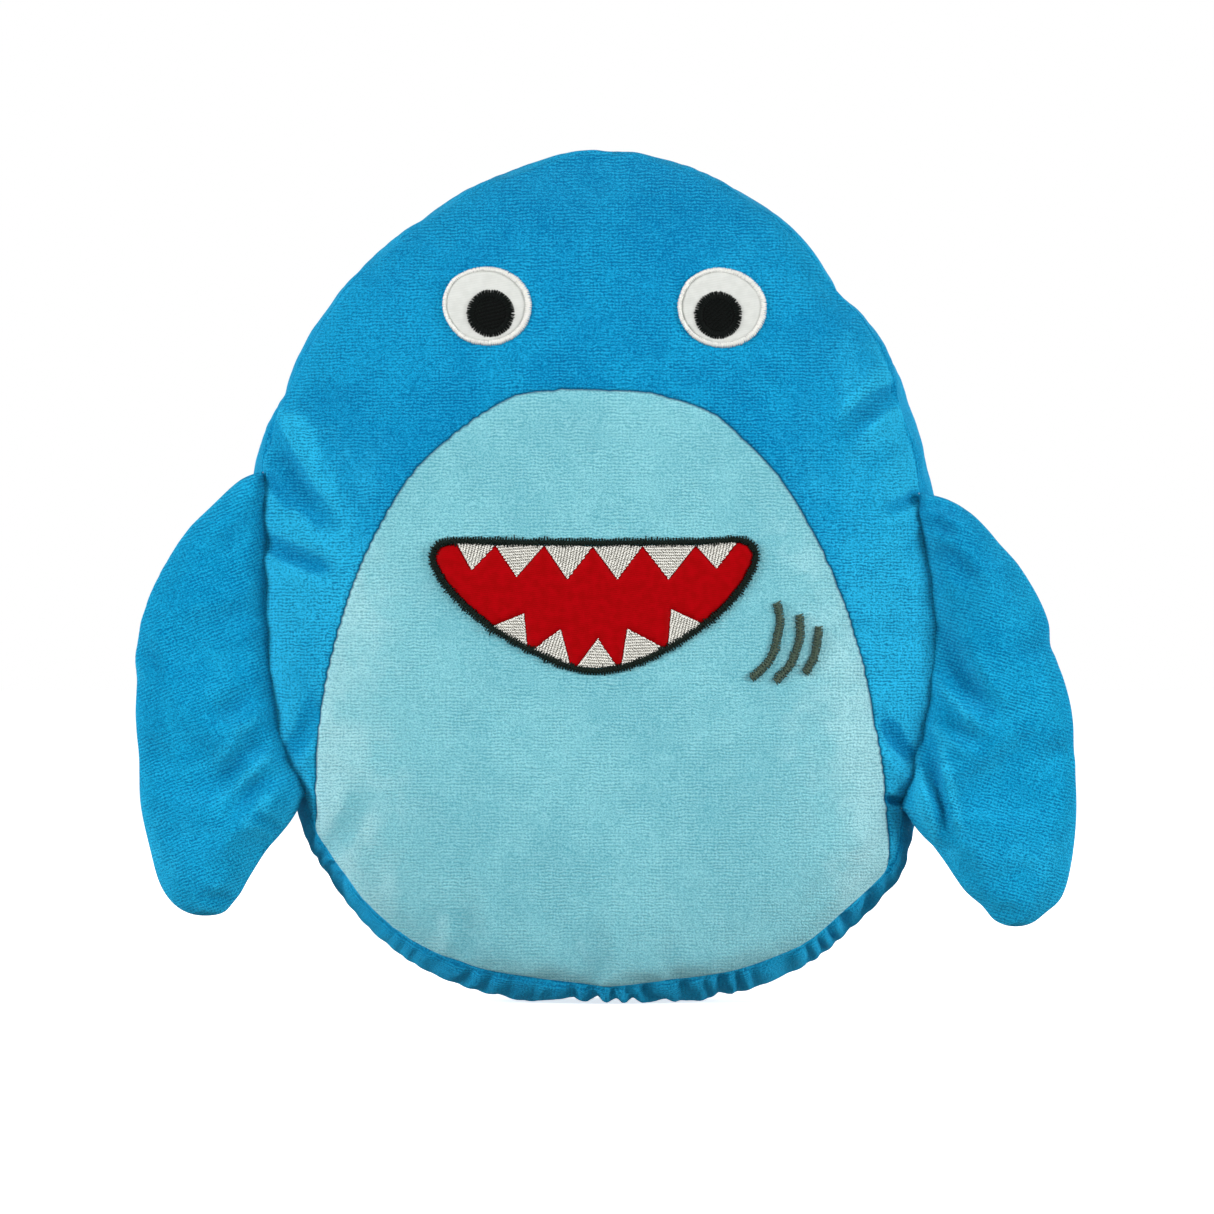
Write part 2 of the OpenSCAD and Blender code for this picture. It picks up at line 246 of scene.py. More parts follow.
def fill_in(rim: np.ndarray, lines: np.ndarray, beside: np.ndarray, spacing: float,
            look_back: int) -> np.ndarray:
    """Gives free points for a panel, finer beside its seams.

    Args:
        rim: The panel's outline, in mm.
        lines: All the points on its seams.
        beside: Rows of points wanted beside the seams; crowded ones are left out.
        spacing: Distance between the points elsewhere, in mm.
        look_back: How many points of the rows a new one is kept clear of.

    Returns:
        An (n, 2) array of points inside the rim.
    """
    beside = beside[inside(beside, rim) & (gaps(beside, lines) > SEAM_GAP)]
    kept = beside[:1]
    for point in beside[1:]:
        if np.min(np.linalg.norm(kept[-look_back:] - point, axis=1)) > FINE_GAP:
            kept = np.vstack([kept, point])
    return np.vstack([kept, lattice(rim, spacing, np.vstack([lines, kept]))])


def triangulate(rim: np.ndarray, inner: np.ndarray,
                lines: Sequence[np.ndarray] = ()) -> tuple[np.ndarray, np.ndarray]:
    """Triangulates a rim with inner points and inner lines that stay edges.

    Args:
        rim: The closed outline; its points come first in the result.
        inner: Free points inside.
        lines: Open lines inside; an end that meets the rim repeats its point.

    Returns:
        Points (n, 2) and triangles (m, 3) that turn counter-clockwise.
    """
    points = [tuple(p) for p in rim]
    edges = [(i, (i + 1) % len(rim)) for i in range(len(rim))]
    for line in lines:
        ids = []
        for p in line:
            gap = np.linalg.norm(rim - p, axis=1)
            if gap.min() < 1e-6:
                ids.append(int(gap.argmin()))
            else:
                ids.append(len(points))
                points.append(tuple(p))
        edges += list(zip(ids[:-1], ids[1:]))
    points += [tuple(p) for p in inner]
    out = delaunay_2d_cdt([Vector(p) for p in points], edges, [], 1, 1e-5)
    verts, faces, origin = out[0], out[2], out[3]
    order = {src: new for new, sources in enumerate(origin) for src in sources}
    ranks = [order[i] for i in range(len(points)) if i in order]
    moved = {new: i for i, new in enumerate(dict.fromkeys(ranks))}
    co = np.array([verts[new] for new in moved])
    tris = np.array([[moved[v] for v in f] for f in faces if all(v in moved for v in f)], int)
    a, b, c = co[tris[:, 0]], co[tris[:, 1]], co[tris[:, 2]]
    area = (b - a)[:, 0] * (c - a)[:, 1] - (b - a)[:, 1] * (c - a)[:, 0]
    tris[area < 0] = tris[area < 0][:, ::-1]
    return co, tris[np.abs(area) > 1e-6]


@dataclass(frozen=True)
class Fold:
    """A crease in the cloth along a line in the face plane.

    A positive depth presses the cloth in along the line and lifts a soft
    ridge on both sides; a negative depth raises a rounded ridge.
    """

    line: tuple[Point2, ...]
    width: float
    depth: float
    ridge: float = 0.35

    def push(self, points: np.ndarray) -> np.ndarray:
        """Gives how far each point moves inward.

        Args:
            points: An (n, 2) array of places in the face plane, in mm.

        Returns:
            Distances in mm, positive inward.
        """
        line = curve(self.line, 2.0, closed=False)
        signed, place, dist = nearest_on_line(points, line)
        past = dist / self.width
        beside = np.abs(signed) / self.width
        shape = np.exp(-past**2) - self.ridge * np.exp(-(beside - 1.7)**2 * 2.2)
        ends = np.clip(np.sin(math.pi * np.clip(place, 0.02, 0.98)), 0, 1)**0.7
        return self.depth * shape * ends * (past < 4)


# Meshes -------------------------------------------------------------------


def new_piece(name: str, points: np.ndarray, faces: Iterable[Sequence[int]]) -> bpy.types.Object:
    """Makes a smooth mesh object.

    Args:
        name: The piece's name.
        points: An (n, 3) array, in metres.
        faces: Corner indices of each face.

    Returns:
        The object, linked to the scene.
    """
    mesh = bpy.data.meshes.new(name)
    mesh.from_pydata(points.tolist(), [], [list(map(int, f)) for f in faces])
    mesh.polygons.foreach_set("use_smooth", [True] * len(mesh.polygons))
    mesh.update()
    piece = bpy.data.objects.new(name, mesh)
    bpy.context.scene.collection.objects.link(piece)
    return piece


def read(mesh: bpy.types.Mesh, what: str) -> np.ndarray:
    """Reads a mesh's vertex places ("co") or normals ("normal") as an (n, 3) array.

    Args:
        mesh: The mesh.
        what: The value's name.

    Returns:
        The values, one row per vertex.
    """
    values = np.empty(len(mesh.vertices) * 3)
    mesh.vertices.foreach_get(what, values)
    return values.reshape(-1, 3)


def place_vertices(piece: bpy.types.Object, points: np.ndarray) -> None:
    """Moves an object's vertices to new places."""
    piece.data.vertices.foreach_set("co", np.asarray(points, float).ravel())
    piece.data.update()


def add_uv(piece: bpy.types.Object, uv: np.ndarray) -> None:
    """Stores a flat cloth layout, one (u, v) per vertex, in metres.

    Args:
        piece: The mesh object.
        uv: An (n, 2) array for its vertices.
    """
    layer = piece.data.uv_layers.new(name=LAYOUT)
    loops = np.empty(len(piece.data.loops), int)
    piece.data.loops.foreach_get("vertex_index", loops)
    layer.data.foreach_set("uv", uv[loops].ravel())


def add_value(piece: bpy.types.Object, name: str, values: np.ndarray) -> None:
    """Stores one number per vertex under a name."""
    attribute = piece.data.attributes.new(name, "FLOAT", "POINT")
    attribute.data.foreach_set("value", np.asarray(values, np.float32))


def rails(line: np.ndarray, offsets: Sequence[float], closed: bool) -> np.ndarray:
    """Gives rows of points beside a line, so that the mesh is fine there.

    Args:
        line: An (n, 2) array.
        offsets: Distances to the line's left, in mm.
        closed: Whether the line returns to its start.

    Returns:
        An (m, 2) array of all the rows.
    """
    if closed:
        along = np.roll(line, -1, axis=0) - np.roll(line, 1, axis=0)
    else:
        along = np.gradient(line, axis=0)
    left = left_of(unit(along))
    return np.vstack([line + left * off for off in offsets])


def cut_out(name: str, points: np.ndarray, tris: np.ndarray, uv: np.ndarray,
            seam: np.ndarray, painted_shade: np.ndarray) -> bpy.types.Object:
    """Cuts a panel out of a shell.

    Args:
        name: The panel's name.
        points: All the shell's places, in mm.
        tris: The panel's triangles, by the shell's numbering.
        uv: The shell's flat cloth layout, in mm.
        seam: How close each shell point is to a seam, 0 to 1; it sets the painted shade along the seams.
        painted_shade: How much shade is painted on each point, from how deep it lies in a crease, in mm;
            below 0 it is a painted highlight.

    Returns:
        The panel, an open sheet.
    """
    used = np.unique(tris)
    index = np.full(len(points), -1)
    index[used] = np.arange(len(used))
    cloth = new_piece(name, points[used] * MM, index[tris])
    add_uv(cloth, uv[used] * MM)
    add_value(cloth, "seam", seam[used])
    add_value(cloth, "painted_shade", painted_shade[used])
    return cloth


def bake_modifiers(piece: bpy.types.Object) -> None:
    """Applies every modifier on an object to its mesh.

    Args:
        piece: The mesh object.
    """
    deps = bpy.context.evaluated_depsgraph_get()
    mesh = bpy.data.meshes.new_from_object(piece.evaluated_get(deps), preserve_all_data_layers=True,
                                           depsgraph=deps)
    old = piece.data
    piece.modifiers.clear()
    piece.data = mesh
    mesh.name = piece.name
    bpy.data.meshes.remove(old)
    mesh.polygons.foreach_set("use_smooth", [True] * len(mesh.polygons))


def thicken(piece: bpy.types.Object, thickness: float) -> None:
    """Smooths a cloth panel once and gives it an inner face.

    Args:
        piece: The panel, as an open sheet with its outer side out.
        thickness: Cloth thickness in mm.
    """
    smooth = piece.modifiers.new("smooth", "SUBSURF")
    smooth.levels = 1
    smooth.boundary_smooth = "PRESERVE_CORNERS"
    smooth.use_limit_surface = False
    shell = piece.modifiers.new("cloth", "SOLIDIFY")
    shell.thickness = thickness * MM
    shell.offset = -1
    bake_modifiers(piece)
    piece.data.set_sharp_from_angle(angle=math.radians(CUT_EDGE))


def relax(points: np.ndarray, faces: np.ndarray, held: np.ndarray, rounds: int = 2,
          share: float = 0.5) -> np.ndarray:
    """Smooths places over a triangle mesh.

    Args:
        points: The (n, 3) places.
        faces: The (m, 3) triangles.
        held: The points that stay.
        rounds: How many times to smooth.
        share: How far a point moves to its neighbours' middle, 0 to 1.

    Returns:
        The new places.
    """
    pairs = np.vstack([faces[:, [0, 1]], faces[:, [1, 2]], faces[:, [2, 0]]])
    pairs = np.unique(np.sort(pairs, axis=1), axis=0)
    count = np.zeros(len(points))
    np.add.at(count, pairs.ravel(), 1)
    out = points.copy()
    for _ in range(rounds):
        total = np.zeros_like(out)
        np.add.at(total, pairs[:, 0], out[pairs[:, 1]])
        np.add.at(total, pairs[:, 1], out[pairs[:, 0]])
        out = out + share * (total / np.maximum(count, 1)[:, None] - out)
        out[held] = points[held]
    return out


def declare(piece: bpy.types.Object, node: str) -> None:
    """Args:
        piece: The mesh object.
        node: The CAD node.
    """
    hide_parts(node)
    LOG.info("%s: %d faces", piece.name, len(piece.data.polygons))


@dataclass
class Inflation:
    """How a sewn shell is blown up like a stuffed toy."""

    pressure: float
    slack: float
    cap: float
    frames: int = 18

    def run(self, piece: bpy.types.Object, pins: Sequence[int]) -> np.ndarray:
        """Simulates the shell with its seams held.

        Args:
            piece: The closed shell.
            pins: Vertices that stay where they are.

        Returns:
            The settled (n, 3) places, no point more than cap from its start.
        """
        start = read(piece.data, "co")
        held = piece.vertex_groups.new(name="held")
        held.add(list(map(int, pins)), 1.0, "REPLACE")
        cloth = piece.modifiers.new("inflate", "CLOTH")
        cloth.settings.effector_weights.gravity = 0
        cloth.collision_settings.use_collision = False
        for key, value in {"quality": 6, "mass": 0.1, "tension_stiffness": 15, "compression_stiffness": 15,
                           "shear_stiffness": 5, "bending_stiffness": 0.05, "air_damping": 3,
                           "use_pressure": True, "uniform_pressure_force": self.pressure,
                           "shrink_min": -self.slack, "vertex_group_mass": "held"}.items():
            setattr(cloth.settings, key, value)
        scene = bpy.context.scene
        scene.frame_start, scene.frame_end = 1, self.frames
        for step in range(1, self.frames + 1):
            scene.frame_set(step)
        settled = piece.evaluated_get(bpy.context.evaluated_depsgraph_get())
        move = read(settled.to_mesh(), "co") - start
        settled.to_mesh_clear()
        piece.modifiers.clear()
        scene.frame_set(1)
        size = np.linalg.norm(move, axis=1, keepdims=True)
        cap = self.cap * MM
        move *= np.where(size > TINY, cap * np.tanh(size / cap) / np.maximum(size, TINY), 1)
        size = np.linalg.norm(move, axis=1) / MM
        LOG.info("%s settled: mean move %.1f mm, most %.1f mm", piece.name, size.mean(), size.max())
        return start + move

    def settle(self, piece: bpy.types.Object, faces: np.ndarray,
               pins: np.ndarray) -> tuple[np.ndarray, np.ndarray]:
        """Inflates a shell and evens it out.

        Args:
            piece: The closed shell; its vertices are moved.
            faces: Its triangles.
            pins: Vertices that stay where they are.

        Returns:
            Its places in mm and its outward normals.
        """
        points = relax(self.run(piece, pins), faces, pins)
        place_vertices(piece, points)
        return points / MM, read(piece.data, "normal")


# The body -----------------------------------------------------------------


@dataclass
class BoxedBody:
    """The stuffed body: hood and belly in front, gusset round the side, back."""

    seam: tuple[Point2, ...] = (
        (5, 350), (18, 348), (37, 342), (55, 333), (77, 317), (97, 292), (107, 280), (115, 266),
        (121, 247), (126, 229), (129.5, 211), (135, 181), (137, 158), (136, 133), (133, 115),
        (129, 97), (122.5, 82), (121, 70), (118, 58), (110, 49), (99, 39), (85, 27), (71, 20),
        (51, 13.5), (24, 9.8), (2, 7.4), (-14, 9.2), (-29, 11), (-50, 14.6), (-71, 22), (-86, 31),
        (-99, 43), (-109, 56), (-118, 69), (-124, 87), (-134, 107), (-139, 133), (-141, 163), (-142, 191),
        (-141, 217), (-138, 234), (-131, 251), (-123, 268), (-113, 285), (-101, 300), (-81, 317),
        (-57, 333), (-38, 341.5), (-12, 350))
    arch: tuple[Point2, ...] = (
        (-119, 75), (-118, 92), (-115, 125), (-107, 158), (-96, 187), (-80, 215), (-62, 233),
        (-39, 248), (-20, 251.5), (0, 251.5), (20, 250), (42, 243), (56, 232), (71, 216), (83, 197),
        (94, 174), (104, 146), (110.5, 114), (115, 84), (118, 57))
    middle: Point2 = (0.0, 165.0)
    half_gusset: float = 35.0
    front_crown: float = 21.0
    back_crown: float = 18.0
    swells: tuple[float, float, float] = (0.9, 3.6, 11.0)
    right_swell: float = 3.5
    # Painted light on the front: how much lighter the flanks and how much darker the head top are painted.
    brushed_pile_and_flank_light: float = 1.4
    head_shade: float = 2.4
    spacing: float = 3.0
    back_spacing: float = 4.2
    rim_step: float = 1.9
    gusset_lines: tuple[float, ...] = (1.3, 3.0, 5.4, 8.4, 12, 16, 20.5, 25, 30)
    pucker_pitch: float = 8.6
    pucker_depths: tuple[float, float, float] = (0.3, 1.5, 1.1)
    notch_depth: float = 1.5
    notch_width: float = 1.9
    seam_line: float = 0.75
    seam_valley: tuple[float, float] = (0.6, 3.6)
    seam_press: float = 0.5
    filling_depth: float = 4.5
    cloth: float = 1.2
    inflation: Inflation = field(default_factory=lambda: Inflation(pressure=2.5, slack=0.02, cap=5.0))
    notches: tuple[float, ...] = (-13.0, -3.0, 13.0, 32.0, 47.0)
    folds: tuple[Fold, ...] = (
        Fold(((-139, 236), (-131, 222), (-122, 208), (-114, 198)), 4.5, 3.2),
        Fold(((-141, 222), (-134, 212), (-127, 203)), 3.2, 2.6),
        Fold(((-142, 193), (-132, 187), (-121, 182), (-112, 178)), 4.0, 2.9),
        Fold(((-136, 246), (-126, 236), (-117, 222)), 4.0, -1.6, 0.0),
        Fold(((124, 254), (116, 250), (107, 243), (99, 235)), 4.0, 3.0),
        Fold(((130, 212), (124, 207), (116, 204)), 2.6, 2.6),
        Fold(((129, 100), (121, 108), (114, 120)), 4.0, 2.9),
        Fold(((124, 84), (119, 84), (115, 86)), 1.8, 3.5),
        Fold(((127, 92), (120, 97), (116, 104)), 3.0, -1.9, 0.0),
        Fold(((-131, 102), (-124, 112), (-120, 126)), 4.0, 2.2),
        Fold(((-117, 62), (-108, 72), (-100, 90)), 5.0, 1.4),
        Fold(((-60, 16), (-57, 30), (-58, 46)), 5.0, 1.3),
        Fold(((-7, 8), (-2, 20), (-4, 34)), 4.0, 1.3),
        Fold(((30, 10), (27, 20), (30, 30)), 4.0, 1.0),
    )

    def polar(self, points: np.ndarray) -> tuple[np.ndarray, np.ndarray]:
        """Gives each point's angle from the top, clockwise, and its distance from the middle."""
        x, z = (points - np.array(self.middle)).T
        return np.arctan2(x, z) % TAU, np.hypot(x, z)

    def reach(self, points: np.ndarray) -> np.ndarray:
        """Gives each point's share of the way out to the seam, from 0 to 1.

        Args:
            points: An (n, 2) array of places, in mm.

        Returns:
            Shares, one for each point.
        """
        rim_angle, rim_radius = self.polar(self.rim)
        order = np.argsort(rim_angle)
        angle, radius = self.polar(points)
        return np.clip(radius / np.interp(angle, rim_angle[order], rim_radius[order], period=TAU), 0, 1)

    def crown(self, points: np.ndarray) -> np.ndarray:
        """Gives the crown's profile, 1 in the middle and 0 at the seam."""
        return np.clip(1 - self.reach(points)**2.5, 0, 1)**0.6

    def draw_front(self) -> tuple[np.ndarray, np.ndarray, np.ndarray]:
        """Lays out the front in the face plane.

        Returns:
            Its points, its triangles and each triangle's panel.
        """
        arch = curve(self.arch, self.rim_step, closed=False)
        for end in (0, -1):
            arch[end] = self.rim[self.rim_number(arch[end])]
        arch = np.vstack([arch[:1], arch[1:-1][gaps(arch[1:-1], self.rim) > 1.6], arch[-1:]])
        self.arch_line = arch
        near, far = BESIDE_SEAM
        beside = np.vstack([rails(arch, (near, -near, far, -far), closed=False),
                            rails(self.rim, (-near, -far), closed=True)])
        free = fill_in(self.rim, np.vstack([self.rim, arch]), beside, self.spacing, look_back=160)
        flat, tris = triangulate(self.rim, free, [arch])
        belly = np.vstack([arch, self.lower_rim(arch)])
        tags = np.where(inside(flat[tris].mean(axis=1), belly), Panel.BELLY.value, Panel.HOOD.value)
        return flat, tris, tags

    def rim_number(self, place: np.ndarray) -> int:
        """Gives the number of the seam point nearest to a place."""
        return int(np.linalg.norm(self.rim - place, axis=1).argmin())

    def lower_rim(self, arch: np.ndarray) -> np.ndarray:
        """Gives the seam below the arch, from its last foot to its first.

        Args:
            arch: The arch seam's points.

        Returns:
            The points between the two feet.
        """
        last, total = self.rim_number(arch[-1]), len(self.rim)
        count = (self.rim_number(arch[0]) - last) % total
        return self.rim[(last + np.arange(1, count)) % total]

    def draw_gusset(self) -> tuple[list[np.ndarray], np.ndarray, np.ndarray]:
        """Lays out the side strip between its two seams.

        Returns:
            Each row's points, each row's depth, and the run along the seam.
        """
        out = unit(self.rim - np.array(self.middle))
        x, z = out.T
        top, side, base = self.swells
        swell = side + (base - side) * np.clip(-z, 0, 1)**4 - (side - top) * np.clip(z, 0, 1)**2 \
            + self.right_swell * np.clip(x, 0, 1)**4
        width = 2 * self.half_gusset
        depths = np.array([*self.gusset_lines, self.half_gusset,
                           *(width - d for d in reversed(self.gusset_lines))])
        rows = []
        for depth in depths:
            v = depth / self.half_gusset - 1
            ring = self.rim + out * (swell * (1 - v * v)**0.6)[:, None]
            rows.append(np.insert(ring, 1, v * self.half_gusset, axis=1))
        return rows, depths, run_along(self.rim)

    def sew_shell(self) -> bpy.types.Object:
        """Builds the closed shell and keeps its layout for the later steps.

        Returns:
            The shell.
        """
        self.rim = curve(self.seam, self.rim_step, closed=True)
        n = len(self.rim)
        front2, front_tri, front_tag = self.draw_front()
        back2, back_tri = triangulate(self.rim, lattice(self.rim, self.back_spacing, self.rim))
        rows, depths, run = self.draw_gusset()
        front_y = -self.half_gusset - self.front_crown * self.crown(front2)
        back_y = self.half_gusset + self.back_crown * self.crown(back2)
        front_y[:n], back_y[:n] = -self.half_gusset, self.half_gusset
        points = np.vstack([np.column_stack([front2[:, 0], front_y, front2[:, 1]]), *rows,
                            np.column_stack([back2[:, 0], back_y, back2[:, 1]])])
        f, g = len(front2), n * len(rows)
        rings = [np.arange(n), *(f + i * n + np.arange(n) for i in range(len(rows))), f + g + np.arange(n)]
        side = []
        for a, b in zip(rings[:-1], rings[1:]):
            side += [np.column_stack([a, np.roll(a, -1), np.roll(b, -1)]),
                     np.column_stack([a, np.roll(b, -1), b])]
        side_tri = np.vstack(side)
        self.tris = np.vstack([front_tri, side_tri, back_tri[:, ::-1] + f + g])
        self.tags = np.concatenate([front_tag, np.full(len(side_tri), Panel.GUSSET.value),
                                    np.full(len(back_tri), Panel.BACK.value)])
        self.front_count, self.back_start = f, f + g
        self.drawn = front2
        self.pins = np.concatenate([np.arange(n), self.back_start + np.arange(n)])
        self.layout = np.zeros((len(points), 2))
        for ring, depth in zip(rings, [0, *depths, 2 * self.half_gusset]):
            self.layout[ring] = np.column_stack([run, np.full(n, depth)])
        self.gusset_part = np.arange(f, f + g)
        points[:, 2] = self.rest_flat(points[:, 2])
        return new_piece("Shell", points * MM, self.tris)

    def rest_flat(self, height: np.ndarray) -> np.ndarray:
        """Presses the lowest cloth flat on the floor, in mm."""
        return np.where(height < 4, 4.1 - 4 * np.tanh((4 - height) / 4), height)

    def gathers(self, points: np.ndarray) -> np.ndarray:
        """Gives the puckers in the gusset, deepest round the bottom.

        Args:
            points: The gusset's places, in mm.

        Returns:
            Inward moves in mm.
        """
        run, depth = self.layout[self.gusset_part].T
        x, z = (points[:, [0, 2]] - np.array(self.middle)).T
        low = np.clip(0.15 - z / np.hypot(x, z), 0, 1)
        drift, size = (np.array([noise.noise(Vector((r * along, d * across, seed)))
                                 for r, d in zip(run, depth)])
                       for along, across, seed in ((0.045, 0.02, 3.1), (0.05, 0.015, 9.4)))
        wave = 0.5 - 0.5 * np.sin(TAU * run / self.pucker_pitch + 7.0 * drift)
        from_edge = np.minimum(depth, 2 * self.half_gusset - depth)
        fade = np.clip(from_edge / 2, 0, 1) * np.exp(-np.clip(from_edge - 10, 0, None)**2 / 420)
        least, below, right = self.pucker_depths
        reach = least + (below + right * (x > -8)) * low
        push = reach * np.clip(0.75 + 1.2 * size, 0.15, 1.3) * fade * wave**2
        under = (points[:, 2] < 26) * np.clip(from_edge / 2.5, 0, 1)
        for place in self.notches:
            push += self.notch_depth * under * np.exp(-((points[:, 0] - place) / self.notch_width)**2)
        return push

    def settle(self, piece: bpy.types.Object) -> None:
        """Inflates the shell, then presses its folds, seams and gathers in.

        Args:
            piece: The shell; its vertices are moved.
        """
        points, outward = self.inflation.settle(piece, self.tris, self.pins)
        front = slice(0, self.front_count)
        flat = points[front][:, [0, 2]]
        push = np.zeros(len(points))
        for fold in self.folds:
            push[front] += fold.push(flat)
        # Painted shade in the creases, by their depth.
        self.painted_shade = push.copy()
        # Painted light: lighter flanks and a darker head top.
        self.painted_shade[front] += self.painted_front_light(*flat.T)
        arch_off = nearest_on_line(self.drawn, self.arch_line)[2]
        rim_off = nearest_on_line(self.drawn, closed_line(self.rim))[2]
        depth, width = self.seam_valley
        push[front] += self.seam_line * np.exp(-arch_off**2) + depth * np.exp(-(arch_off / width)**2)
        push[self.gusset_part] += self.gathers(points[self.gusset_part])
        # Painted shade in the gusset's puckers and notches.
        self.painted_shade[self.gusset_part] = 0.5 * push[self.gusset_part]
        push[self.pins] += self.seam_press
        # Painted shade along the arch seam and, more lightly, the rim seam.
        self.seam_shade = np.zeros(len(points))
        self.seam_shade[front] = np.maximum(np.exp(-(arch_off / 0.8)**2), 0.3 * np.exp(-(rim_off / 0.9)**2))
        self.seam_shade[self.pins] = 0.3
        before = points[:, 2].copy()
        points = points - outward * push[:, None]
        points[:, 2] = np.where(before > 6, self.rest_flat(points[:, 2]), np.maximum(points[:, 2], 0.1))
        place_vertices(piece, points * MM)
        self.points, self.outward = points, read(piece.data, "normal")

    def painted_front_light(self, x: np.ndarray, z: np.ndarray) -> np.ndarray:
        """Gives the painted light on the front: lighter on the flanks, darker on the top of the head.

        Args:
            x: Places across, in mm.
            z: Heights, in mm.

        Returns:
            Changes to the painted shade value, in mm; below 0 is a painted highlight.
        """
        flank = np.clip((np.abs(x) - 62) / 50, 0, 1) * np.clip((np.where(x > 0, 300, 255) - z) / 80, 0, 1)
        return self.head_shade * np.clip((z - 275) / 70, 0, 1) - self.brushed_pile_and_flank_light * flank

    def build(self) -> None:
        """Builds the four panels and the filling."""
        shell = self.sew_shell()
        self.settle(shell)
        self.panels: dict[Panel, bpy.types.Object] = {}
        for panel, name in ((Panel.HOOD, "Hood_Panel"), (Panel.BELLY, "Belly_Panel"),
                            (Panel.GUSSET, "Side_Gusset"), (Panel.BACK, "Back_Panel")):
            uv = self.layout if panel is Panel.GUSSET else self.points[:, [0, 2]]
            self.panels[panel] = cut_out(name, self.points, self.tris[self.tags == panel.value], uv,
                                         self.seam_shade, self.painted_shade)
            thicken(self.panels[panel], self.cloth)
        inner = self.points - self.outward * self.filling_depth
        self.filling = new_piece("Body_Filling", inner * MM, self.tris)
        bpy.data.objects.remove(shell)

    def dress(self, finishes: "Finishes") -> None:
        """Gives the panels and the filling their materials.

        Args:
            finishes: The toy's materials.
        """
        for panel, cloth in self.panels.items():
            finishes.put(cloth, finishes.belly if panel is Panel.BELLY else finishes.hood)
        finishes.put(self.filling, finishes.fibre)

    def enter(self) -> None:
        """Declares what each piece rides on and stands for."""
        for piece, node, slot in ((self.panels[Panel.HOOD], "front_panel", "blue_velour"),
                                  (self.panels[Panel.BELLY], "belly_panel", "pale_velour"),
                                  (self.panels[Panel.GUSSET], "gusset", "blue_velour"),
                                  (self.panels[Panel.BACK], "back_panel", "blue_velour"),
                                  (self.filling, "body_stuffing", "fibre_fill")):
            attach(piece, "body")
            declare(piece, node)


# The flippers -------------------------------------------------------------


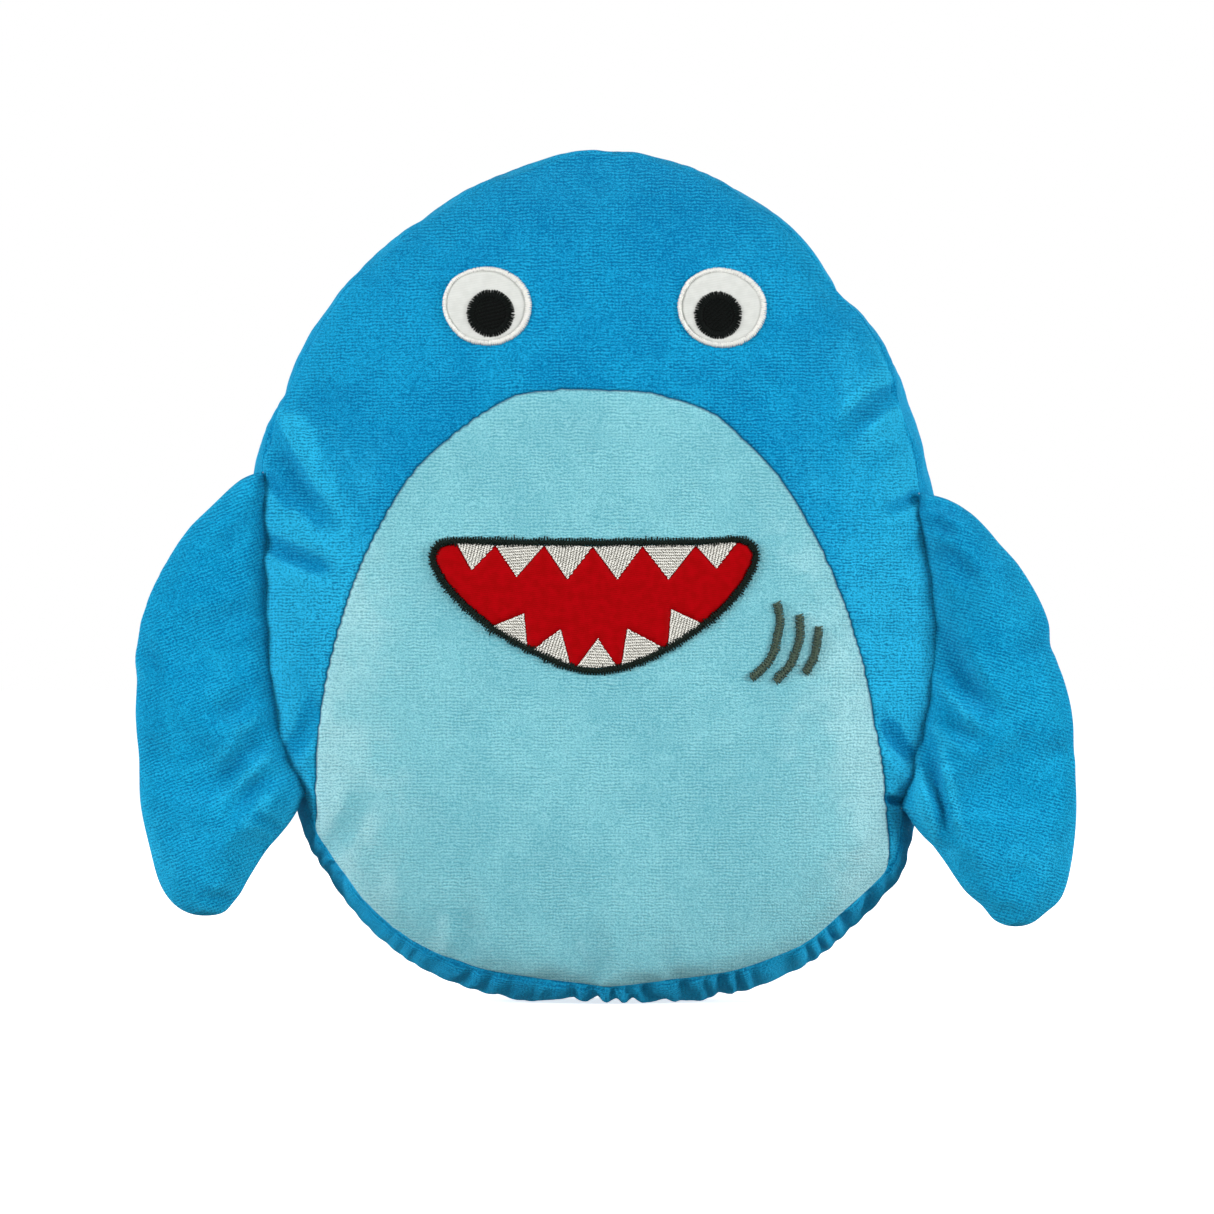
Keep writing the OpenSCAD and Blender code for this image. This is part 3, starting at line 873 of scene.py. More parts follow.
@dataclass
class Flipper:
    """A stuffed flipper whose root is caught in the body's front seam."""

    side: Side
    outer: tuple[Point2, ...]
    root: tuple[Point2, ...]
    folds: tuple[Fold, ...] = ()
    half_depth: float = 12.0
    shoulder: float = 24.0
    plane: float = -36.5
    spacing: float = 3.0
    rim_step: float = 2.2
    cloth: float = 1.2
    turn: float = 22.0
    tuck: float = 3.0
    # Painted light on the flipper: above this height it is painted darker by shaded, below it lighter by lit.
    shade_split: float = 125.0
    shaded: float = 0.3
    lit: float = 0.55
    reach_out: tuple[float, float] = (1.0, 42.0)
    inflation: Inflation = field(default_factory=lambda: Inflation(pressure=2.2, slack=0.045, cap=4.5))

    @property
    def title(self) -> str:
        """The start of this flipper's piece names."""
        return "Left_Flipper" if self.side is Side.LEFT else "Right_Flipper"

    @property
    def body(self) -> str:
        """The name of the body that this flipper is."""
        return "left_flipper" if self.side is Side.LEFT else "right_flipper"

    def draw(self) -> None:
        """Lays out the two skins, sewn at their edge, in the face plane."""
        outer = curve(self.outer, self.rim_step, closed=False)
        root = curve(self.root, self.rim_step, closed=False)
        from_end = np.minimum(np.arange(len(root)), np.arange(len(root))[::-1]) * self.rim_step
        root[:, 0] -= self.tuck * np.clip(from_end / 9, 0.4, 1) * self.side.value
        outer[0], outer[-1] = root[-1], root[0]
        self.rim = counter_clockwise(np.vstack([outer[:-1], root[:-1]]))
        self.root_line = root
        beside = rails(self.rim, BESIDE_SEAM, closed=True)
        free = fill_in(self.rim, self.rim, beside, self.spacing, look_back=len(beside))
        self.flat, self.half_tris = triangulate(self.rim, free)

    def sew_shell(self) -> bpy.types.Object:
        """Builds the closed shell of the two skins.

        Returns:
            The shell.
        """
        self.draw()
        n, count = len(self.rim), len(self.flat)
        edge_off = nearest_on_line(self.flat, closed_line(self.rim))[2]
        half = self.half_depth * (1 - (1 - np.clip(edge_off / self.shoulder, 0, 1))**2.5)**0.6
        half[:n] = 0
        self.edge_off = np.concatenate([edge_off, edge_off[n:]])
        number = np.concatenate([np.arange(n), count + np.arange(count - n)])
        points = np.vstack([np.insert(self.flat, 1, self.plane - half, axis=1),
                            np.insert(self.flat, 1, self.plane + half, axis=1)[n:]])
        self.tris = np.vstack([self.half_tris, number[self.half_tris][:, ::-1]])
        self.is_front = np.arange(len(self.tris)) < len(self.half_tris)
        return new_piece(self.title + "_Shell", points * MM, self.tris)

    def settle(self, piece: bpy.types.Object) -> None:
        """Inflates the flipper, then presses its folds and seam in.

        Args:
            piece: The shell; its vertices are moved.
        """
        points, outward = self.inflation.settle(piece, self.tris, np.arange(len(self.rim)))
        push = np.zeros(len(points))
        front = slice(0, len(self.flat))
        for fold in self.folds:
            push[front] += fold.push(points[front][:, [0, 2]])
        # Painted shade in the creases and on the upper part, painted highlight on the lower part.
        above = (points[:, 2] - self.shade_split) / 60
        self.painted_shade = push + self.shaded * np.clip(above, 0, 1) - self.lit * np.clip(-above, 0, 1)
        # Painted shade along the flipper's edge seam.
        self.seam_shade = 0.5 * np.exp(-(self.edge_off / 0.9)**2)
        self.points = points - outward * push[:, None]
        place_vertices(piece, self.points * MM)
        self.outward = read(piece.data, "normal")

    def build(self) -> None:
        """Builds the front skin, the back skin and the filling."""
        shell = self.sew_shell()
        self.settle(shell)
        lean = math.radians(self.turn * self.side.value)
        turned = self.points[:, [0, 2]] @ np.array([[math.cos(lean), math.sin(lean)],
                                                   [-math.sin(lean), math.cos(lean)]])
        self.skins = []
        for part, chosen in (("_Front", self.is_front), ("_Back", ~self.is_front)):
            skin = cut_out(self.title + part, self.points, self.tris[chosen], turned, self.seam_shade,
                           self.painted_shade)
            thicken(skin, self.cloth)
            self.skins.append(skin)
        inner = self.points - self.outward * np.minimum(3.5, 0.3 + 0.2 * self.edge_off)[:, None]
        self.filling = new_piece(self.title + "_Filling", inner * MM, self.tris)
        bpy.data.objects.remove(shell)

    def dress(self, finishes: "Finishes") -> None:
        """Gives the skins and the filling their materials.

        Args:
            finishes: The toy's materials.
        """
        for skin in self.skins:
            finishes.put(skin, finishes.flipper)
        finishes.put(self.filling, finishes.fibre)

    def enter(self) -> None:
        """Bakes each piece's place into its mesh and declares what it stands for."""
        for piece, node, slot in ((self.skins[0], "front", "flipper_velour"),
                                  (self.skins[1], "back", "flipper_velour"),
                                  (self.filling, "stuffing", "fibre_fill")):
            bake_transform(piece)
            declare(piece, f"{self.body}_{node}")


# Sewing on the front ------------------------------------------------------


class Ground:
    """Finished cloth that stitches are laid on.

    Needles come in from FAR in front; a place beside the cloth takes the
    nearest point to one NEAR in front. Both are in metres.
    """

    FAR = 0.3
    NEAR = 0.04

    def __init__(self, pieces: Sequence[bpy.types.Object], from_front: bool = True) -> None:
        """Gathers the cloth's faces.

        Args:
            pieces: The panels.
            from_front: Whether the stitches are on the face, not the back.
        """
        corners, faces = [], []
        for piece in pieces:
            first = len(corners)
            corners += [v.co.copy() for v in piece.data.vertices]
            faces += [[first + v for v in face.vertices] for face in piece.data.polygons]
        self.tree = BVHTree.FromPolygons(corners, faces)
        self.ahead = 1.0 if from_front else -1.0

    def at(self, places: np.ndarray, lift: np.ndarray) -> np.ndarray:
        """Sets places in the face plane onto the cloth.

        Args:
            places: An (n, 2) array, in mm.
            lift: Height above the cloth for each, in mm.

        Returns:
            An (n, 3) array, in mm.
        """
        out = np.empty((len(places), 3))
        for i, (x, z) in enumerate(places):
            start = Vector((x * MM, -self.FAR * self.ahead, z * MM))
            hit, normal, *_ = self.tree.ray_cast(start, Vector((0, self.ahead, 0)))
            if hit is None:
                start.y = -self.NEAR * self.ahead
                hit, normal, *_ = self.tree.find_nearest(start)
            if normal.y * self.ahead > 0:
                normal = -normal
            out[i] = (hit + normal * (lift[i] * MM)) / MM
        return out


@dataclass(frozen=True)
class Stitch:
    """One straight stitch between two needle holes."""

    start: Point2
    end: Point2
    width: float = 0.55
    base: float = 0.6
    rise: float = 0.35


class Needlework:
    """A piece of stitching: a raised ground with threads over it.

    STEPS is how many rings make a thread, THREAD its section in shares of its
    width and mm of height, DIP how far its ends go down into the cloth and
    SHORTEST its least length, in mm. PADDING is the section of the padding
    under a satin line, in shares of its width and height.
    """

    STEPS = 5
    THREAD = ((-0.5, -0.16), (-0.32, 0.14), (0.32, 0.14), (0.5, -0.16))
    DIP = 0.75
    SHORTEST = 0.5
    PADDING = ((-0.5, -0.4), (-0.34, 0.75), (0, 1), (0.34, 0.75), (0.5, -0.4))

    def __init__(self, ground: Ground, seed: int) -> None:
        """Starts a piece.

        Args:
            ground: The cloth below.
            seed: Number that fixes the threads' small differences.
        """
        self.ground = ground
        self.random = np.random.default_rng(SEED + seed)
        self.points: list[np.ndarray] = []
        self.faces: list[list[int]] = []
        self.uv: list[np.ndarray] = []
        self.deep: list[np.ndarray] = []
        self.count = 0

    def add(self, points: np.ndarray, faces: Iterable[Sequence[int]], uv: np.ndarray,
            deep: np.ndarray | None = None) -> None:
        """Adds a closed lump of mesh.

        Args:
            points: Its places, in mm.
            faces: Its faces.
            uv: Its flat layout, in mm.
            deep: How much each point lies in the threads' shade, 0 to 1.
        """
        # Pieces given no depth, padding and patches, take their thread's painted shade colour throughout.
        self.deep.append(np.ones(len(points)) if deep is None else deep)
        self.faces += [[self.count + int(v) for v in face] for face in faces]
        self.points.append(points)
        self.uv.append(uv)
        self.count += len(points)

    def sew(self, stitches: Sequence[Stitch]) -> None:
        """Lays threads, each arched between its two needle holes.

        Args:
            stitches: The stitches, in order.
        """
        m, total = self.STEPS, len(stitches)
        t = np.linspace(0, 1, m)
        ends = np.array([[*s.start, *s.end] for s in stitches])
        sizes = np.array([[s.width, s.base, s.rise] for s in stitches])
        along = ends[:, 2:] - ends[:, :2]
        mid = ends[:, None, :2] + along[:, None] * t[None, :, None]
        length = np.maximum(np.linalg.norm(along, axis=1), 1e-6)
        across = left_of(along) / length[:, None]
        arch = np.sin(math.pi * np.clip(t, 0.04, 0.96))**0.5
        height = sizes[:, 1:2] + sizes[:, 2:3] * arch[None] - self.DIP * (np.abs(t - 0.5) > 0.49)[None]
        bed = self.ground.at(mid.reshape(-1, 2), height.ravel()).reshape(total, m, 3)
        ring = []
        for side, up in self.THREAD:
            shift = np.zeros((total, m, 3))
            wide = sizes[:, 0:1] * side * (0.55 + 0.45 * arch[None])
            shift[..., 0] = across[:, 0:1] * wide
            shift[..., 2] = across[:, 1:2] * wide
            shift[..., 1] = -up * self.ground.ahead
            ring.append(bed + shift)
        block = np.stack(ring, axis=2).reshape(-1, 3)
        uv = np.zeros((total, m, 4, 2))
        uv[..., 0] = (length[:, None] * t[None])[:, :, None] + self.random.uniform(0, 9, (total, 1, 1))
        uv[..., 1] = np.array([s for s, _ in self.THREAD])[None, None] * sizes[:, 0][:, None, None]
        one = [(i + k, i + (k + 1) % 4, i + 4 + (k + 1) % 4, i + 4 + k)
               for i in range(0, 4 * (m - 1), 4) for k in range(4)]
        one += [(0, 3, 2, 1), tuple(range(4 * (m - 1), 4 * m))]
        faces = [[at + corner for corner in face] for at in range(0, 4 * m * total, 4 * m) for face in one]
        # Painted shade on the thread's sides and on its ends, where it dips into the cloth.
        deep = np.zeros((total, m, 4))
        deep[..., [0, 3]] = 0.75
        deep[:, [0, -1]] = 1.0
        self.add(block, faces, uv.reshape(-1, 2), deep.ravel())

    def band(self, line: np.ndarray, width: float, lift: float, closed: bool) -> None:
        """Lays the padding under a satin line.

        Args:
            line: The line's middle, in mm.
            width: Width in mm.
            lift: Height in mm.
            closed: Whether the line returns to its start.
        """
        n = len(line)
        rows = rails(line, [s * width for s, _ in self.PADDING], closed)
        points = self.ground.at(rows, np.repeat([h * lift for _, h in self.PADDING], n))
        faces = []
        for i in range(n if closed else n - 1):
            j = (i + 1) % n
            for k in range(5):
                faces.append((k * n + j, ((k + 1) % 5) * n + j, ((k + 1) % 5) * n + i, k * n + i))
        if not closed:
            faces += [[k * n for k in range(5)], [k * n + n - 1 for k in range(4, -1, -1)]]
        self.add(points, faces, points[:, [0, 2]])

    def slab(self, outline: np.ndarray, spacing: float, lift: float, edge: float = 0.0,
             under: float = -0.35) -> None:
        """Lays a flat patch, with a soft edge if it has one.

        Args:
            outline: Closed outline, in mm.
            spacing: Mesh spacing in mm.
            lift: Height of its upper face, in mm.
            edge: How far from the edge the patch reaches its full height, in mm.
            under: Height of its lower face, in mm.
        """
        rim = counter_clockwise(outline)
        flat, tris = triangulate(rim, lattice(rim, spacing, rim))
        n, count = len(rim), len(flat)
        height = np.full(count, lift)
        if edge:
            off = nearest_on_line(flat, closed_line(rim))[2]
            height = lift * (0.45 + 0.55 * np.clip(off / edge, 0, 1)**0.6)
        top = self.ground.at(flat, height)
        bottom = self.ground.at(flat, np.full(count, under))
        sides = [(i, count + i, count + (i + 1) % n, (i + 1) % n) for i in range(n)]
        self.add(np.vstack([top, bottom]), [*tris.tolist(), *(tris[:, ::-1] + count).tolist(), *sides],
                 np.vstack([flat, flat]))

    def satin(self, line: np.ndarray, widths: np.ndarray, pitch: float, closed: bool, base: float,
              rise: float, ragged: float = 0.3, slant: float = 0.12) -> None:
        """Sews close stitches across a line.

        Args:
            line: The line's middle, in mm.
            widths: Width at each point, in mm.
            pitch: Distance between stitches, in mm.
            closed: Whether the line returns to its start.
            base: Height of the stitches' ends.
            rise: Extra height in the middle.
            ragged: How uneven the ends are, in mm.
            slant: How much each stitch leans, in mm per mm of width.
        """
        ring = closed_line(line) if closed else line
        wide = np.append(widths, widths[0]) if closed else widths
        run = run_along(ring)
        at = np.arange(0.2, run[-1] - 0.1, pitch)
        at = at + self.random.normal(0, 0.07, len(at))
        mid = at_run(ring, run, at)
        ahead = unit(at_run(ring, run, at + 0.5) - at_run(ring, run, at - 0.5))
        half = np.interp(at, run, wide)[:, None] / 2
        spread = np.abs(self.random.normal(0, ragged, (len(at), 2)))
        lean = ahead * slant * half * np.where(np.arange(len(at)) % 2, 1, -1)[:, None]
        start = mid + left_of(ahead) * (half + spread[:, :1]) + lean
        end = mid - left_of(ahead) * (half + spread[:, 1:]) - lean
        thick = pitch * self.random.uniform(0.95, 1.35, len(at))
        up = base + self.random.uniform(-0.08, 0.1, len(at))
        self.sew([Stitch(tuple(s), tuple(e), w, u, rise) for s, e, w, u in zip(start, end, thick, up)])

    def rows(self, outline: np.ndarray, angle: float, pitch: float, length: float, base: float,
             rise: float) -> None:
        """Fills an outline with rows of running stitches.

        Args:
            outline: Closed outline, in mm.
            angle: Direction of the rows in degrees.
            pitch: Distance between rows, in mm.
            length: Length of each stitch, in mm.
            base: Height of the stitches' ends.
            rise: Extra height in the middle.
        """
        turn = math.radians(angle)
        spin = np.array([[math.cos(turn), math.sin(turn)], [-math.sin(turn), math.cos(turn)]])
        shape = outline @ spin.T
        (x0, y0), (x1, y1) = shape.T, np.roll(shape, -1, axis=0).T
        found: list[Stitch] = []
        for row, level in enumerate(np.arange(y0.min() + 0.5 * pitch, y0.max(), pitch)):
            hit = (y0 > level) != (y1 > level)
            cross = np.sort(x0[hit] + (level - y0[hit]) / (y1[hit] - y0[hit]) * (x1[hit] - x0[hit]))
            for left, right in zip(cross[::2], cross[1::2]):
                if right - left < self.SHORTEST:
                    continue
                cuts = np.arange(math.floor(left / length) * length + (row % 3) * length / 3, right, length)
                cuts = [left, *(c for c in cuts if left + 0.7 < c < right - 0.7), right]
                for ends in zip(cuts[:-1], cuts[1:]):
                    wobble = self.random.normal(0, 0.09, 2)
                    a, b = (np.array([u, level + w]) @ spin for u, w in zip(ends, wobble))
                    thick = pitch * self.random.uniform(0.75, 1.1)
                    up = base + self.random.uniform(-0.05, 0.07)
                    found.append(Stitch(tuple(a), tuple(b), thick, up, rise))
        self.sew(found)

    def piece(self, name: str, node: str, slot: str) -> bpy.types.Object:
        """Args:
            name: The piece's name.
            node: The CAD node that it stands for.
            slot: Not used.

        Returns:
            The object.
        """
        obj = new_piece(name, np.vstack(self.points) * MM, self.faces)
        add_uv(obj, np.vstack(self.uv) * MM)
        add_value(obj, "deep", np.concatenate(self.deep))
        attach(obj, "body")
        declare(obj, node)
        return obj

    def backing(self, outline: np.ndarray, name: str, node: str) -> bpy.types.Object:
        """Makes a stabiliser patch just behind the panel.

        Args:
            outline: The patch's outline, in mm.
            name: The piece's name.
            node: The CAD node that it stands for.

        Returns:
            The patch.
        """
        self.slab(outline, 3.0, -1.7, under=-2.5)
        return self.piece(name, node, "backing_fleece")


def trace(points: Sequence[Point2], spacing: float) -> np.ndarray:
    """Samples a closed figure with sharp corners at an even spacing.

    Args:
        points: An (n, 2) array of places, in mm.
        spacing: Distance between samples, in mm.

    Returns:
        An (n, 2) array of samples.
    """
    p = np.asarray(points, float)
    out = []
    for a, b in zip(p, np.roll(p, -1, axis=0)):
        count = max(1, int(round(np.linalg.norm(b - a) / spacing)))
        out += [a + (b - a) * i / count for i in range(count)]
    return np.array(out)


@dataclass
class Eye:
    """An embroidered eye: white cloth, satin border and black pupil."""

    side: Side
    outline: tuple[Point2, ...]
    pupil: Point2
    pupil_radius: float = 9.9
    ring_width: float = 3.9
    border_left: float = 1.7
    border_right: float = 2.7

    def build(self, ground: Ground) -> None:
        """Builds the eye's pieces on the front.

        Args:
            ground: The cloth that it is sewn on.
        """
        tag, name = self.side.name.lower(), self.side.name.title()
        seed = 30 + self.side.value
        outer = curve(self.outline, 0.8, closed=True)
        middle, pupil = outer.mean(axis=0), np.array(self.pupil)
        lean = np.clip((outer[:, 0] - middle[0]) / 17, -1, 1)
        widths = self.border_left + (self.border_right - self.border_left) * (0.5 + 0.5 * lean)
        inward = unit(middle - outer)
        work = Needlework(ground, seed)
        self.white_outline = outer + inward * (widths * 0.6)[:, None]
        work.slab(self.white_outline, 1.6, 0.75, 2.0)
        self.white = work.piece(f"Eye_White_{name}", f"eye_white_{tag}", "white_thread")
        work = Needlework(ground, seed + 10)
        line = outer + inward * (widths / 2)[:, None]
        work.band(line, 1.3, 0.75, closed=True)
        work.satin(line, widths, 0.42, closed=True, base=0.6, rise=0.42, ragged=0.12)
        self.border = work.piece(f"Eye_Border_{name}", f"eye_border_{tag}", "white_thread")
        work = Needlework(ground, seed + 20)
        angles = np.linspace(0, TAU, 90, endpoint=False)
        round_ = np.column_stack([np.cos(angles), np.sin(angles)])
        core = pupil + round_ * (self.pupil_radius - self.ring_width + 0.4)
        work.slab(pupil + round_ * (self.pupil_radius - 0.7), 1.5, 1.05, 1.0)
        work.rows(core, 14 * self.side.value, pitch=0.55, length=3.2, base=1.05, rise=0.22)
        ring = pupil + round_ * (self.pupil_radius - self.ring_width / 2)
        work.satin(ring, np.full(len(ring), self.ring_width), 0.44, closed=True, base=1.0, rise=0.4,
                   ragged=0.18, slant=0.05)
        self.disc = work.piece(f"Pupil_{name}", f"pupil_{tag}", "black_thread")
        self.backing = Needlework(ground, seed + 25).backing(
            outer + (outer - middle) * 0.2, f"Eye_Backing_{name}", f"eye_backing_{tag}")

    def dress(self, finishes: "Finishes") -> None:
        """Gives the eye's pieces their materials.

        Args:
            finishes: The toy's materials.
        """
        finishes.put(self.white, finishes.white_cloth)
        finishes.put(self.border, finishes.white_thread)
        finishes.put(self.disc, finishes.black_thread)
        finishes.put(self.backing, finishes.fleece)

    def enter(self) -> None:
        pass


@dataclass
class Mouth:
    """The open mouth: red cloth, two rows of stitched teeth, dark outline."""

    outline: tuple[Point2, ...] = (
        (-70.6, 184.5), (-68.6, 188.8), (-64, 190.6), (-57, 190.8), (-45, 190.4), (-25, 190.2),
        (-5, 190), (15, 190.2), (35, 190.3), (48, 191), (55, 191.2), (59.5, 189.6), (61.6, 186),
        (61, 181.5), (57.5, 174.5), (52, 167), (46, 161.2), (39, 155.6), (31, 150.2), (23, 145.6),
        (15, 142), (7, 139.2), (0, 138), (-6, 137.7), (-12, 138.8), (-20, 141.4), (-29, 145.6),
        (-37, 149.8), (-46, 155.3), (-54, 161.5), (-61, 168), (-66, 174), (-69.3, 180))
    upper: tuple[tuple[Point2, Point2, Point2], ...] = (
        ((-60.8, 190), (-54.5, 178.8), (-44.7, 189)), ((-44.7, 189), (-36, 176), (-24.8, 188.8)),
        ((-24.8, 188.8), (-15.5, 175), (-5, 188.4)), ((-5, 188.4), (5, 175), (15.3, 188.7)),
        ((15.3, 188.7), (26, 175), (37, 188.8)), ((37, 188.8), (45.4, 179.4), (54, 190.4)))
    lower: tuple[tuple[Point2, Point2, Point2], ...] = (
        ((-46, 156), (-33, 161.3), (-31.6, 147)), ((-29.6, 146.2), (-18, 154.8), (-14, 139.8)),
        ((-11.6, 139.4), (-3, 151), (4.8, 139.6)), ((6.6, 139.8), (9, 155), (24.2, 147)),
        ((25.6, 147.6), (27, 163), (40, 157)))
    width: float = 2.6
    thread_angles: tuple[int, ...] = (38, -34, 41, 36, -38, 40)

    def build(self, ground: Ground) -> None:
        """Builds the mouth's pieces on the belly.

        Args:
            ground: The cloth that it is sewn on.
        """
        line = curve(self.outline, 0.9, closed=True)
        work = Needlework(ground, 1)
        red = [(-68, 188), *(p for tooth in self.upper for p in tooth[:2]), self.upper[-1][2],
               (58.6, 189), (60.6, 185.8), (60, 181.6), (56.6, 175), (51.2, 167.6), (45.4, 162)]
        for tooth in reversed(self.lower):
            red += [tooth[2], tooth[1], tooth[0]]
        red += [(-53.4, 162.3), (-60.2, 168.8), (-65, 174.6), (-68.3, 180.3), (-69.6, 184.6)]
        self.red_outline = trace(red, 1.5)
        work.slab(self.red_outline, 1.8, 1.0, 1.8)
        self.red = work.piece("Mouth_Red", "mouth_patch", "red_thread")
        self.teeth = []
        for row, teeth in (("upper", self.upper), ("lower", self.lower)):
            for number, corners in enumerate(teeth, 1):
                self.teeth.append(self.tooth(ground, row, number, *corners))
        work = Needlework(ground, 2)
        work.band(line, self.width * 0.72, 1.15, closed=True)
        work.satin(line, np.full(len(line), self.width), 0.56, closed=True, base=0.8, rise=0.7,
                   ragged=0.52, slant=0.3)
        self.edge = work.piece("Mouth_Outline", "mouth_outline", "dark_thread")
        grown = line + (line - line.mean(axis=0)) * np.array([0.05, 0.12])
        self.backing = Needlework(ground, 3).backing(grown[::3], "Mouth_Backing", "mouth_backing")

    def tooth(self, ground: Ground, row: str, number: int, a: Point2, tip: Point2,
              b: Point2) -> bpy.types.Object:
        """Stitches one tooth.

        Args:
            ground: The belly.
            row: "upper" or "lower".
            number: Its place in the row, from 1.
            a: One end of its base.
            tip: Its tip.
            b: The other end of its base.

        Returns:
            The tooth.
        """
        mid = (np.array(a) + np.array(b)) / 2
        root = mid + (mid - np.array(tip)) * 0.06
        shape = trace((a, tip, b, tuple(root)), 0.8)
        work = Needlework(ground, number + (50 if row == "upper" else 60))
        work.slab(shape, 1.2, 0.5, 0.6)
        angle = self.thread_angles[number - 1] * (1 if row == "upper" else -1)
        work.rows(shape, angle, pitch=0.5, length=1.9, base=0.5, rise=0.26)
        return work.piece(f"{row.title()}_Tooth_{number}", f"{row}_tooth_{number}", "tooth_thread")

    def dress(self, finishes: "Finishes") -> None:
        """Gives the mouth's pieces their materials.

        Args:
            finishes: The toy's materials.
        """
        finishes.put(self.red, finishes.red_cloth)
        finishes.put(self.edge, finishes.dark_thread)
        finishes.put(self.backing, finishes.fleece)
        for tooth in self.teeth:
            finishes.put(tooth, finishes.tooth_thread)

    def enter(self) -> None:
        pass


@dataclass
class GillMarks:
    """Three curved satin bars beside the mouth."""

    bars: tuple[tuple[Point2, ...], ...] = (
        ((70, 165.5), (71.3, 160), (71, 155), (69, 146), (65.4, 140), (59.5, 134.6)),
        ((79.4, 160.4), (79.6, 152), (77.4, 144), (74.4, 138.6), (69.4, 133.4)),
        ((87.4, 155.8), (86.6, 149), (85.2, 143), (81.6, 136.6)))
    width: float = 3.15

    def build(self, ground: Ground) -> None:
        """Builds the bars on the belly.

        Args:
            ground: The cloth that it is sewn on.
        """
        self.marks = []
        for number, bar in enumerate(self.bars, 1):
            line = curve(bar, 0.9, closed=False)
            work = Needlework(ground, 70 + number)
            work.band(line, self.width * 0.7, 1.0, closed=False)
            work.satin(line, np.full(len(line), self.width), 0.56, closed=False, base=0.85, rise=0.65,
                       ragged=0.3, slant=0.4)
            ends = [line[-1] + np.array([0.8, 0.4]), line[len(line) * 2 // 3] + np.array([1.8, -0.4])]
            for start in ends:
                away = start + work.random.uniform(-0.6, 2.4, 2) * np.array([1, -0.5])
                work.sew([Stitch(tuple(start), tuple(away), 0.22, 0.5, 0.7)])
            self.marks.append(work.piece(f"Gill_Mark_{number}", f"gill_mark_{number}", "dark_thread"))
        patch = trace(((56, 129), (82, 129), (93, 138), (93, 160), (84, 168), (66, 170), (60, 150)), 2.5)
        self.backing = Needlework(ground, 80).backing(patch, "Gill_Backing", "gill_backing")

    def dress(self, finishes: "Finishes") -> None:
        """Gives the bars their thread.

        Args:
            finishes: The toy's materials.
        """
        for mark in self.marks:
            finishes.put(mark, finishes.gill_thread)
        finishes.put(self.backing, finishes.fleece)


@dataclass
class ClosingStitches:
    """The hand stitches that close the filling opening, low in the back seam."""

    start: float = -28.0
    end: float = 28.0
    pitch: float = 4.7

    def build(self, body: BoxedBody) -> None:
        """Builds the stitches across the back seam.

        Args:
            body: The finished body.
        """
        seam = body.points[body.back_start:body.back_start + len(body.rim)]
        low = seam[seam[:, 2] < 60]
        low = low[np.argsort(low[:, 0])]
        ground = Ground([body.panels[Panel.BACK]], from_front=False)
        work = Needlework(ground, 90)
        stitches = []
        for x in np.arange(self.start, self.end + 0.1, self.pitch):
            z = float(np.interp(x, low[:, 0], low[:, 2]))
            jog = work.random.uniform(-0.4, 0.4, 2)
            stitches.append(Stitch((x - 0.9 + jog[0], z + 1.0), (x + 0.9 + jog[1], z + 4.4),
                                   0.75, 0.1, 0.5))
        work.sew(stitches)
        self.thread = work.piece("Closing_Stitches", "closing_stitches", "blue_thread")

    def dress(self, finishes: "Finishes") -> None:
        """Gives the stitches their thread."""
        finishes.put(self.thread, finishes.blue_thread)


# Finishes -----------------------------------------------------------------


def srgb(red: int, green: int, blue: int) -> Colour:
    """Turns 0 to 255 display values into a linear colour."""
    parts = (red / 255, green / 255, blue / 255)
    return tuple(c / 12.92 if c <= 0.04045 else ((c + 0.055) / 1.055)**2.4 for c in parts)


